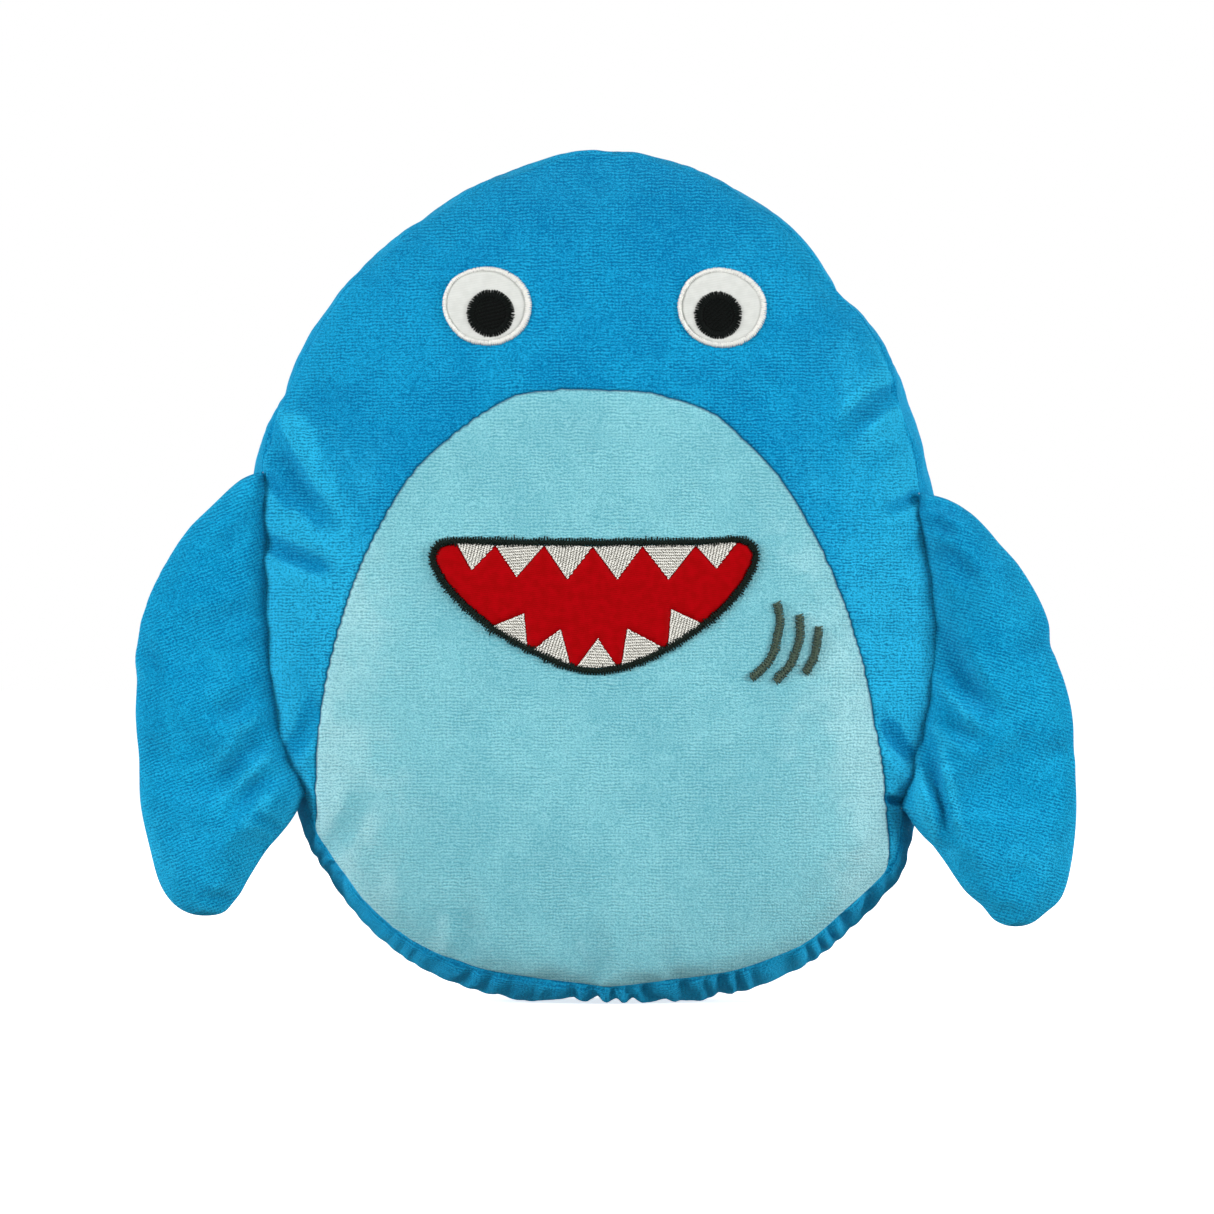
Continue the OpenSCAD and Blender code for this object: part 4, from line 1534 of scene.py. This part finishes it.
class Bench:
    """Adds and joins nodes in one node tree."""

    def __init__(self, tree: bpy.types.NodeTree) -> None:
        """Keeps the tree."""
        self.tree = tree

    def add(self, kind: str, inputs: dict | None = None, **settings: object) -> bpy.types.Node:
        """Adds a node.

        Args:
            kind: The node's type.
            inputs: Values or output sockets for its inputs.
            **settings: Its own properties.

        Returns:
            The node.
        """
        node = self.tree.nodes.new(kind)
        for key, value in settings.items():
            setattr(node, key, value)
        self.set(node, inputs or {})
        return node

    def set(self, node: bpy.types.Node, inputs: dict) -> None:
        """Gives a node's inputs their values, or joins them to output sockets.

        Args:
            node: The node.
            inputs: Values or output sockets, by input.
        """
        for key, value in inputs.items():
            if isinstance(value, bpy.types.NodeSocket):
                self.tree.links.new(value, node.inputs[key])
            else:
                node.inputs[key].default_value = value

    def math(self, what: str, *values: object) -> bpy.types.NodeSocket:
        """Adds a Math node and returns its output."""
        return self.add("ShaderNodeMath", dict(enumerate(values)), operation=what).outputs[0]

    def plus(self, one: object, two: object) -> bpy.types.NodeSocket:
        """Adds two numbers."""
        return self.math("ADD", one, two)

    def times(self, one: object, two: object) -> bpy.types.NodeSocket:
        """Multiplies two numbers."""
        return self.math("MULTIPLY", one, two)

    def sine(self, value: object) -> bpy.types.NodeSocket:
        """Gives a wave from -1 to 1."""
        return self.math("SINE", value)

    def vector(self, what: str, one: object, two: object) -> bpy.types.NodeSocket:
        """Adds a Vector Math node and returns its output."""
        return self.add("ShaderNodeVectorMath", {0: one, 1: two}, operation=what).outputs[0]

    def mix(self, share: object, one: object, two: object) -> bpy.types.NodeSocket:
        """Adds a Mix node between two colours, or sockets of them, and returns its output."""
        one, two = (c if isinstance(c, bpy.types.NodeSocket) else (*c, 1) for c in (one, two))
        return self.add("ShaderNodeMix", {0: share, 6: one, 7: two}, data_type="RGBA").outputs[2]

    def noise(self, place: object, scale: object, detail: float = 2.0, rough: float = 0.5,
              twist: float = 0.0) -> bpy.types.NodeSocket:
        """Adds a Noise node and returns its value, about 0.5."""
        return self.add("ShaderNodeTexNoise", {"Vector": place, "Scale": scale, "Detail": detail,
                                              "Roughness": rough, "Distortion": twist}).outputs[0]

    def ramp(self, value: object, low: float, high: float) -> bpy.types.NodeSocket:
        """Stretches low..high to 0..1 smoothly.

        Args:
            value: The value to stretch.
            low: The value that becomes 0.
            high: The value that becomes 1.

        Returns:
            The stretched value.
        """
        node = self.add("ShaderNodeMapRange", {0: value, 1: low, 2: high},
                        interpolation_type="SMOOTHSTEP")
        return node.outputs[0]

    def group(self, tree: bpy.types.NodeTree, **inputs: object) -> bpy.types.Node:
        """Places a node group with its inputs."""
        return self.add("ShaderNodeGroup", inputs, node_tree=tree)

    def layout(self) -> bpy.types.NodeSocket:
        """Gives the flat cloth layout stored on the mesh."""
        return self.add("ShaderNodeUVMap", uv_map=LAYOUT).outputs[0]

    def solid(self) -> bpy.types.NodeSocket:
        """Gives the place in the piece's own space."""
        return self.add("ShaderNodeTexCoord").outputs["Object"]

    def stored(self, name: str) -> bpy.types.NodeSocket:
        """Gives a number stored on the mesh under a name."""
        return self.add("ShaderNodeAttribute", attribute_name=name).outputs["Fac"]

    def relief(self, height: object, strength: float, distance: float) -> bpy.types.NodeSocket:
        """Adds a Bump node and returns its normal."""
        return self.add("ShaderNodeBump", {"Strength": strength, "Distance": distance,
                                          "Height": height}).outputs[0]


class Effects:
    """The shader node groups that the materials share, built once."""

    FIBRES = (1350.0, 1400.0, 2050.0)

    def __init__(self) -> None:
        """Builds every group."""
        self.knit = self._group("Knit Pile", ("Place", "Solid", "Pitch", "Wander"), self._knit)
        self.nap = self._group("Nap Drift", ("Place", "Patch"), self._nap)
        self.twist = self._group("Thread Twist", ("Place", "Pitch"), self._twist)
        self.twill = self._group("Fine Twill", ("Place", "Pitch"), self._twill)

    def _group(self, name: str, inputs: Sequence[str], fill: Callable) -> bpy.types.NodeTree:
        """Makes a group with places and plain numbers in, Height and Shade out.

        Args:
            name: The group's name.
            inputs: Its inputs' names.
            fill: Builds its inside and gives its height and shade.

        Returns:
            The group.
        """
        tree = bpy.data.node_groups.new(name, "ShaderNodeTree")
        for key in inputs:
            kind = "NodeSocketVector" if key in ("Place", "Solid") else "NodeSocketFloat"
            tree.interface.new_socket(key, in_out="INPUT", socket_type=kind)
        for key in ("Height", "Shade"):
            tree.interface.new_socket(key, in_out="OUTPUT", socket_type="NodeSocketFloat")
        bench = Bench(tree)
        height, shade = fill(bench, bench.add("NodeGroupInput").outputs)
        bench.add("NodeGroupOutput", {"Height": height, "Shade": shade})
        return tree

    def _millimetres(self, bench: Bench, given: bpy.types.NodeOutputs) -> bpy.types.NodeSocket:
        """Gives the place in millimetres."""
        return bench.add("ShaderNodeVectorMath", {0: given["Place"], 3: 1 / MM},
                         operation="SCALE").outputs[0]

    def _knit(self, bench: Bench, given: bpy.types.NodeOutputs) -> tuple:
        """Rows of small loops, half hidden by brushed pile.

        Args:
            bench: The bench of the group.
            given: The group's inputs.

        Returns:
            Its height and shade.
        """
        place = self._millimetres(bench, given)
        bend = bench.add("ShaderNodeTexNoise", {"Vector": place, "Scale": 0.22, "Detail": 2.0}).outputs[1]
        centred = bench.vector("SUBTRACT", bend, (0.5, 0.5, 0.5))
        moved = bench.vector("ADD", place, bench.vector("MULTIPLY", centred, given["Wander"]))
        x, y, _ = bench.add("ShaderNodeSeparateXYZ", {0: moved}).outputs
        step = bench.math("DIVIDE", TAU, given["Pitch"])
        row = bench.sine(bench.times(y, step))
        column = bench.sine(bench.plus(bench.times(x, bench.times(step, 0.9)), bench.times(row, 0.8)))
        loops = bench.plus(bench.times(row, 0.15), bench.times(column, 0.06))
        brushed_pile_and_flank_light = bench.ramp(bench.noise(place, 0.07, 3.0), 0.35, 0.6)
        fibres = bench.vector("MULTIPLY", given["Solid"], self.FIBRES)
        pile = bench.noise(fibres, 1.0, 3.0, 0.7)
        tuft = bench.noise(fibres, 0.42)
        grid = bench.times(loops, bench.plus(0.3, bench.times(brushed_pile_and_flank_light, 0.7)))
        height = bench.plus(grid, bench.plus(bench.times(pile, 1.5), bench.times(tuft, 0.7)))
        return height, bench.plus(bench.times(grid, 0.6), pile)

    def _nap(self, bench: Bench, given: bpy.types.NodeOutputs) -> tuple:
        """Soft patches where the pile was laid one way or the other.

        Args:
            bench: The bench of the group.
            given: The group's inputs.

        Returns:
            Its height and shade.
        """
        scale = bench.math("DIVIDE", 1.0, given["Patch"])
        wide = bench.noise(given["Place"], scale, 3.0, 0.55, 0.6)
        fine = bench.noise(given["Place"], bench.times(scale, 4.3), 4.0, 0.6, 0.3)
        return fine, bench.plus(bench.times(bench.ramp(wide, 0.3, 0.7), 0.6),
                                bench.times(bench.ramp(fine, 0.35, 0.68), 0.4))

    def _twist(self, bench: Bench, given: bpy.types.NodeOutputs) -> tuple:
        """The spiral plies and loose fibres of a thread.

        Args:
            bench: The bench of the group.
            given: The group's inputs.

        Returns:
            Its height and shade.
        """
        place = self._millimetres(bench, given)
        x, y, _ = bench.add("ShaderNodeSeparateXYZ", {0: place}).outputs
        step = bench.math("DIVIDE", TAU, given["Pitch"])
        plies = bench.sine(bench.plus(bench.times(x, step), bench.times(y, 7.0)))
        height = bench.plus(bench.times(plies, 0.4), bench.noise(place, 3.0))
        return height, bench.plus(bench.times(plies, 0.12), bench.noise(place, 0.5))

    def _twill(self, bench: Bench, given: bpy.types.NodeOutputs) -> tuple:
        """Fine cross ribs of a smooth woven cloth.

        Args:
            bench: The bench of the group.
            given: The group's inputs.

        Returns:
            Its height and shade.
        """
        place = self._millimetres(bench, given)
        x, y, _ = bench.add("ShaderNodeSeparateXYZ", {0: place}).outputs
        step = bench.math("DIVIDE", TAU, given["Pitch"])
        rib = bench.sine(bench.times(step, bench.plus(y, bench.times(x, 0.12))))
        warp = bench.sine(bench.times(x, bench.times(step, 1.3)))
        grain = bench.plus(bench.times(warp, 0.12), bench.times(bench.noise(place, 1.2, 3.0), 0.5))
        return (bench.plus(bench.times(rib, 0.3), grain),
                bench.plus(bench.times(rib, 0.14), bench.noise(place, 0.3, 3.0)))


@dataclass(frozen=True)
class Velour:
    """Short-pile velour with visible knit rows; shade is painted into its creases, gathers and seams, and a
    painted highlight onto its ridges and lit sides.
    """

    name: str
    # The dark pile-grain colour, also the painted shade in creases and gathers.
    deep: Colour
    main: Colour
    light: Colour
    # The pale pile-tip colour, also the painted highlight on ridges and flanks.
    tip_and_highlight: Colour
    # The painted shade colour along the seams.
    seam: Colour
    patch: float = 0.05
    pitch: float = 1.35
    wander: float = 2.2
    roughness: float = 0.92
    specular: float = 0.05
    sheen: float = 0.55
    sheen_roughness: float = 0.38
    sheen_tint: Colour = (0.06, 0.66, 1.0)
    relief: float = 0.8
    contrast: float = 0.9

    def make(self, effects: Effects) -> bpy.types.Material:
        """Builds the material.

        Args:
            effects: The shared node groups.

        Returns:
            The material.
        """
        material, bench, shader = blank(self.name)
        solid = bench.solid()
        knit = bench.group(effects.knit, Place=bench.layout(), Solid=solid, Pitch=self.pitch,
                           Wander=self.wander)
        nap = bench.group(effects.nap, Place=solid, Patch=self.patch).outputs["Shade"]
        colour = bench.mix(bench.ramp(nap, 0.15, 0.85), self.main, self.light)
        painted_shade = bench.stored("painted_shade")
        uneven = bench.times(bench.math("SUBTRACT", nap, 0.25), 1.2)
        # Painted highlight: ridges and lit flanks, broken up by the nap, are mixed towards the pale colour.
        raised = bench.times(bench.ramp(bench.plus(painted_shade, uneven), 0.0, -1.3), 0.85)
        # Painted shade: creases and gathers are mixed towards the dark colour.
        crease_shade = bench.times(bench.ramp(painted_shade, 0.1, 3.2), 0.55)
        dark = bench.times(bench.ramp(knit.outputs["Shade"], 0.53, 0.38), 0.9 * self.contrast)
        tips = bench.times(bench.ramp(knit.outputs["Shade"], 0.5, 0.64), 0.5 * self.contrast)
        # Painted shade: a dark line mixed in along the seams.
        near = bench.times(bench.ramp(bench.stored("seam"), 0.35, 1.0), 0.8)
        for share, shade in ((raised, self.tip_and_highlight), (crease_shade, self.deep), (dark, self.deep),
                             (tips, self.tip_and_highlight), (near, self.seam)):
            colour = bench.mix(share, colour, shade)
        bench.set(shader, {
            "Base Color": colour,
            "Roughness": bench.math("SUBTRACT", self.roughness, bench.times(nap, 0.1)),
            "Normal": bench.relief(knit.outputs["Height"], self.relief, 0.0014),
            "Sheen Weight": self.sheen,
            "Sheen Roughness": self.sheen_roughness,
            "Sheen Tint": (*self.sheen_tint, 1),
            "Specular IOR Level": self.specular})
        return material


@dataclass(frozen=True)
class Thread:
    """Embroidery thread with a satin shine."""

    name: str
    shade: Colour
    main: Colour
    light: Colour
    roughness: float = 0.5
    specular: float = 0.25
    pitch: float = 0.9

    def make(self, effects: Effects) -> bpy.types.Material:
        """Builds the material.

        Args:
            effects: The shared node groups.

        Returns:
            The material.
        """
        material, bench, shader = blank(self.name)
        twist = bench.group(effects.twist, Place=bench.layout(), Pitch=self.pitch)
        share = bench.ramp(twist.outputs["Shade"], 0.3, 0.75)
        # Painted shade: mixed towards the shade colour by the stored depth.
        colour = bench.mix(bench.ramp(bench.stored("deep"), 0.2, 1.0),
                           bench.mix(share, self.main, self.light), self.shade)
        bench.set(shader, {
            "Base Color": colour,
            "Roughness": bench.plus(self.roughness, bench.times(share, 0.12)),
            "Normal": bench.relief(twist.outputs["Height"], 0.35, 0.00015),
            "Specular IOR Level": self.specular})
        return material


@dataclass(frozen=True)
class SmoothCloth:
    """Smooth woven cloth, as used for cut-out patches."""

    name: str
    main: Colour
    light: Colour
    pitch: float = 0.8
    roughness: float = 0.65
    specular: float = 0.2

    def make(self, effects: Effects) -> bpy.types.Material:
        """Builds the material.

        Args:
            effects: The shared node groups.

        Returns:
            The material.
        """
        material, bench, shader = blank(self.name)
        twill = bench.group(effects.twill, Place=bench.layout(), Pitch=self.pitch)
        share = bench.ramp(twill.outputs["Shade"], 0.3, 0.72)
        bench.set(shader, {
            "Base Color": bench.mix(share, self.main, self.light),
            "Roughness": bench.plus(self.roughness, bench.times(share, 0.1)),
            "Normal": bench.relief(twill.outputs["Height"], 0.3, 0.0002),
            "Specular IOR Level": self.specular})
        return material


@dataclass(frozen=True)
class Fluff:
    """Loose white fibre or thin fleece, out of sight inside the toy."""

    name: str
    main: Colour
    light: Colour
    tuft: float = 0.006

    def make(self, effects: Effects) -> bpy.types.Material:
        """Builds the material.

        Args:
            effects: The shared node groups.

        Returns:
            The material.
        """
        material, bench, shader = blank(self.name)
        nap = bench.group(effects.nap, Place=bench.solid(), Patch=self.tuft)
        bench.set(shader, {
            "Base Color": bench.mix(nap.outputs["Shade"], self.main, self.light),
            "Roughness": 0.95,
            "Normal": bench.relief(nap.outputs["Height"], 0.7, 0.001)})
        return material


@dataclass(frozen=True)
class FloorPaper:
    """The pale studio floor."""

    name: str = "Floor Paper"
    tone: float = 0.9
    glow: float = 0.72

    def make(self) -> bpy.types.Material:
        """Builds the material.

        Returns:
            The material.
        """
        material, bench, shader = blank(self.name)
        grain = bench.noise(bench.solid(), 900.0)
        bench.set(shader, {
            "Base Color": bench.mix(grain, (self.tone,) * 3, (self.tone + 0.02,) * 3),
            "Roughness": 0.9,
            "Emission Color": (1, 1, 1, 1),
            "Emission Strength": self.glow})
        return material


def blank(name: str) -> tuple[bpy.types.Material, Bench, bpy.types.Node]:
    """Starts a material with its shader and output.

    Args:
        name: The material's name.

    Returns:
        The material, the bench for its nodes and its shader.
    """
    material = bpy.data.materials.new(name)
    material.use_nodes = True
    material.node_tree.nodes.clear()
    bench = Bench(material.node_tree)
    shader = bench.add("ShaderNodeBsdfPrincipled")
    bench.add("ShaderNodeOutputMaterial", {"Surface": shader.outputs[0]})
    return material, bench, shader


class Finishes:
    """Every material of the toy."""

    def __init__(self) -> None:
        """Builds the materials."""
        effects = Effects()
        self.hood = Velour(
            "Blue Velour", srgb(0, 90, 142), srgb(0, 133, 188), srgb(10, 152, 204), srgb(44, 190, 236),
            srgb(0, 52, 88)).make(effects)
        self.flipper = Velour(
            "Flipper Velour", srgb(0, 94, 148), srgb(0, 143, 194), srgb(16, 162, 210), srgb(40, 188, 234),
            srgb(0, 52, 88)).make(effects)
        self.belly = Velour(
            "Pale Velour", srgb(72, 152, 172), srgb(118, 192, 205), srgb(132, 204, 215),
            srgb(176, 230, 236), srgb(0, 66, 100), sheen=0.35, sheen_tint=(0.8, 0.97, 1.0),
            contrast=0.7).make(effects)
        self.white_thread = Thread(
            "White Thread", srgb(188, 190, 186), srgb(212, 213, 208), srgb(228, 228, 223)).make(effects)
        self.black_thread = Thread(
            "Black Thread", srgb(0, 1, 0), srgb(1, 4, 3), srgb(5, 12, 9), 0.6, 0.1).make(effects)
        self.dark_thread = Thread(
            "Dark Thread", srgb(0, 4, 2), srgb(1, 12, 7), srgb(8, 26, 18), 0.6, 0.12).make(effects)
        self.gill_thread = Thread(
            "Gill Thread", srgb(6, 30, 24), srgb(38, 62, 50), srgb(74, 88, 72), specular=0.3).make(effects)
        self.tooth_thread = Thread(
            "Tooth Thread", srgb(136, 134, 126), srgb(213, 211, 203), srgb(230, 229, 222)).make(effects)
        self.blue_thread = Thread(
            "Blue Thread", srgb(0, 60, 100), srgb(0, 96, 148), srgb(10, 120, 172)).make(effects)
        self.red_cloth = SmoothCloth(
            "Red Cloth", srgb(135, 0, 2), srgb(151, 0, 6), specular=0.03).make(effects)
        self.white_cloth = SmoothCloth(
            "White Cloth", srgb(180, 182, 178), srgb(190, 192, 188), 0.7).make(effects)
        self.fibre = Fluff("Fibre Fill", srgb(226, 226, 222), srgb(246, 246, 242)).make(effects)
        self.fleece = Fluff("Backing Fleece", srgb(200, 200, 196), srgb(222, 222, 218), 0.003).make(effects)
        self.floor = FloorPaper().make()

    def put(self, piece: bpy.types.Object, material: bpy.types.Material) -> None:
        """Makes a material the only one on a piece."""
        piece.data.materials.clear()
        piece.data.materials.append(material)


# The studio ---------------------------------------------------------------


@dataclass(frozen=True)
class SoftBox:
    """A large square lamp aimed at the toy."""

    name: str
    place: tuple[float, float, float]
    size: float
    power: float

    def hang(self, target: Vector) -> None:
        """Places the lamp in the scene, turned to a target.

        Args:
            target: The place that the lamp points at.
        """
        lamp = bpy.data.lights.new(self.name, "AREA")
        lamp.size, lamp.energy = self.size, self.power
        holder = bpy.data.objects.new(self.name, lamp)
        holder.location = self.place
        holder.rotation_mode = "QUATERNION"
        holder.rotation_quaternion = (target - Vector(self.place)).to_track_quat("-Z", "Y")
        bpy.context.scene.collection.objects.link(holder)


@dataclass
class Studio:
    """Camera, lamps, floor and sky."""

    aim: tuple[float, float, float] = (0.0008, -0.045, 0.1638)
    distance: float = 3.2
    view_width: float = 0.4977
    sky: float = 0.45
    floor_rings: tuple[float, ...] = (0.2, 1.5, 12.0)
    boxes: tuple[SoftBox, ...] = (
        SoftBox("Left_Box", (-1.9, -1.1, 0.6), 0.7, 57.0),
        SoftBox("Right_Box", (1.95, -0.9, 0.5), 0.8, 52.0),
        SoftBox("Top_Box", (0.1, -1.1, 1.8), 0.8, 6.0),
        SoftBox("Back_Box", (0.3, 2.3, 1.1), 1.0, 14.0))

    def build(self, finishes: Finishes) -> None:
        """Sets up everything around the toy.

        Args:
            finishes: The toy's materials.
        """
        scene = bpy.context.scene
        lens = bpy.data.cameras.new("Camera")
        lens.lens = lens.sensor_width * self.distance / self.view_width
        lens.clip_end = 50.0
        camera = bpy.data.objects.new("Camera", lens)
        camera.location = Vector(self.aim) - Vector((0, self.distance, 0))
        camera.rotation_euler = (math.pi / 2, 0, 0)
        scene.collection.objects.link(camera)
        scene.camera = camera
        for box in self.boxes:
            box.hang(Vector((0, 0, 0.17)))
        self.sky_light(scene)
        scene.view_settings.view_transform = "Standard"
        self.lay_floor(finishes)

    def lay_floor(self, finishes: Finishes) -> None:
        """Lays a round floor of rings round a disc.

        Args:
            finishes: The toy's materials.
        """
        n = 64
        angles = np.linspace(0, TAU, n, endpoint=False)
        circle = np.column_stack([np.cos(angles), np.sin(angles), np.zeros(n)])
        faces = [(k * n + i, k * n + n + i, k * n + n + (i + 1) % n, k * n + (i + 1) % n)
                 for k in range(len(self.floor_rings) - 1) for i in range(n)]
        floor = new_piece("Floor", np.vstack([circle * r for r in self.floor_rings]),
                          [*faces, tuple(range(n))])
        finishes.put(floor, finishes.floor)
        floor.visible_diffuse = floor.visible_glossy = False

    def sky_light(self, scene: bpy.types.Scene) -> None:
        """Lights the room evenly and keeps the far wall white.

        Args:
            scene: The scene.
        """
        scene.world = bpy.data.worlds.new("Room")
        scene.world.use_nodes = True
        scene.world.node_tree.nodes.clear()
        bench = Bench(scene.world.node_tree)
        soft = bench.add("ShaderNodeBackground", {0: (1, 1, 1, 1), 1: self.sky})
        wall = bench.add("ShaderNodeBackground", {0: (1, 1, 1, 1), 1: 1.0})
        seen = bench.add("ShaderNodeLightPath").outputs["Is Camera Ray"]
        mixed = bench.add("ShaderNodeMixShader", {0: seen, 1: soft.outputs[0], 2: wall.outputs[0]})
        bench.add("ShaderNodeOutputWorld", {"Surface": mixed.outputs[0]})


def left_flipper() -> Flipper:
    """Gives the left flipper's cut and creases.

    Returns:
        The flipper.
    """
    outer = ((-141.4, 219.6), (-150, 216), (-160, 207), (-171.6, 195), (-181, 180.4), (-188, 165),
             (-192, 150), (-192.4, 133), (-193, 119), (-191.6, 102), (-191, 83), (-187, 64), (-183, 50),
             (-177, 41.4), (-169, 37.3), (-159, 37.6), (-152, 43), (-146, 53), (-139, 64), (-132, 72),
             (-126.5, 80), (-124, 87))
    root = ((-124, 87), (-134, 107), (-139, 133), (-141, 163), (-142, 191), (-141.4, 219.6))
    folds = (Fold(((-142, 205), (-150, 196), (-158, 186)), 5.0, 1.4),
             Fold(((-142, 165), (-152, 160), (-166, 158)), 5.0, 1.2),
             Fold(((-191, 153), (-186, 143), (-181, 134)), 3.6, 1.8),
             Fold(((-142, 129), (-152, 123), (-165, 118)), 4.5, 1.8),
             Fold(((-139, 112), (-147, 104), (-156, 94), (-163, 90)), 4.0, 2.6),
             Fold(((-131, 96), (-141, 92), (-149, 84), (-155, 77)), 3.5, 2.4),
             Fold(((-145, 80), (-140, 76), (-134, 73)), 2.2, 1.6),
             Fold(((-166, 47), (-160, 44), (-153, 44)), 2.6, 1.8))
    return Flipper(Side.LEFT, outer, root, folds)


def right_flipper() -> Flipper:
    """Gives the right flipper's cut and creases.

    Returns:
        The flipper.
    """
    outer = ((129.8, 211), (140, 208), (150, 202.6), (157, 196), (162, 190), (170, 181), (178, 168),
             (182.4, 157), (183.6, 147), (188.6, 134), (192, 120), (193, 102), (193.8, 80), (192, 60),
             (188, 45), (181, 38), (175, 33.6), (168, 32.6), (160, 35.6), (155, 41), (148, 47), (141, 57),
             (135.6, 65), (131.6, 68.6), (127, 74), (122.6, 81))
    root = ((122.6, 81), (129, 97), (133, 115), (136, 133), (137, 158), (135, 181), (129.8, 211))
    folds = (Fold(((131, 205), (138, 204), (147, 200)), 2.0, 1.8),
             Fold(((132, 200), (137, 198), (144, 193)), 2.2, 2.6),
             Fold(((134, 188), (142, 184), (152, 174)), 3.6, 1.6),
             Fold(((138, 160), (142, 143), (151, 129), (163, 117)), 5.0, 3.2),
             Fold(((138, 123), (145, 114), (157, 107)), 3.6, 2.2),
             Fold(((132.5, 109), (134.5, 95), (138, 81), (141, 67)), 2.8, 4.4, 0.5),
             Fold(((129, 92), (131, 84), (133, 76)), 3.0, -1.6, 0.0),
             Fold(((160, 41), (165, 38), (170, 40)), 2.4, 1.8),
             Fold(((192, 108), (184, 104), (176, 104)), 4.0, 1.1),
             Fold(((183, 151), (176, 146), (167, 146)), 4.0, 1.2))
    return Flipper(Side.RIGHT, outer, root, folds, turn=16.0, shaded=1.8)


def left_eye() -> Eye:
    """Gives the left eye's outline and pupil.

    Returns:
        The eye.
    """
    outline = ((-66.5, 289), (-63, 297.5), (-55.5, 302), (-46, 303), (-37, 299.5), (-31.4, 293), (-30.2, 285),
               (-33.5, 277), (-41, 271.8), (-50, 270.8), (-58.5, 273.6), (-64.6, 280.5))
    return Eye(Side.LEFT, outline, (-46.8, 283.8))


def right_eye() -> Eye:
    """Gives the right eye's outline and pupil.

    Returns:
        The eye.
    """
    outline = ((29.8, 288), (33.2, 296.6), (41, 301.8), (50.5, 302.4), (59.4, 298.6), (65.2, 291.4),
               (65.8, 283), (62, 275.6), (54.6, 270.8), (45.4, 270), (36.6, 273.4), (31.2, 280))
    return Eye(Side.RIGHT, outline, (46.2, 283.0))


def write_sizes() -> None:
    """Updates the view layer."""
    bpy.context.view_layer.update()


def main() -> None:
    """Builds the toy piece by piece, then the studio round it."""
    logging.basicConfig(level=logging.INFO, format="%(message)s")
    finishes = Finishes()
    Studio().build(finishes)
    body = BoxedBody()
    body.build()
    flippers = [left_flipper(), right_flipper()]
    for flipper in flippers:
        flipper.build()
    ground = Ground([body.panels[Panel.HOOD], body.panels[Panel.BELLY]])
    eyes, mouth, gills, closing = [left_eye(), right_eye()], Mouth(), GillMarks(), ClosingStitches()
    for part in (*eyes, mouth, gills):
        part.build(ground)
    closing.build(body)
    for part in (body, *flippers, *eyes, mouth, gills, closing):
        part.dress(finishes)
    for part in (body, *flippers, *eyes, mouth):
        part.enter()
    write_sizes()


if __name__ == "__main__":
    main()
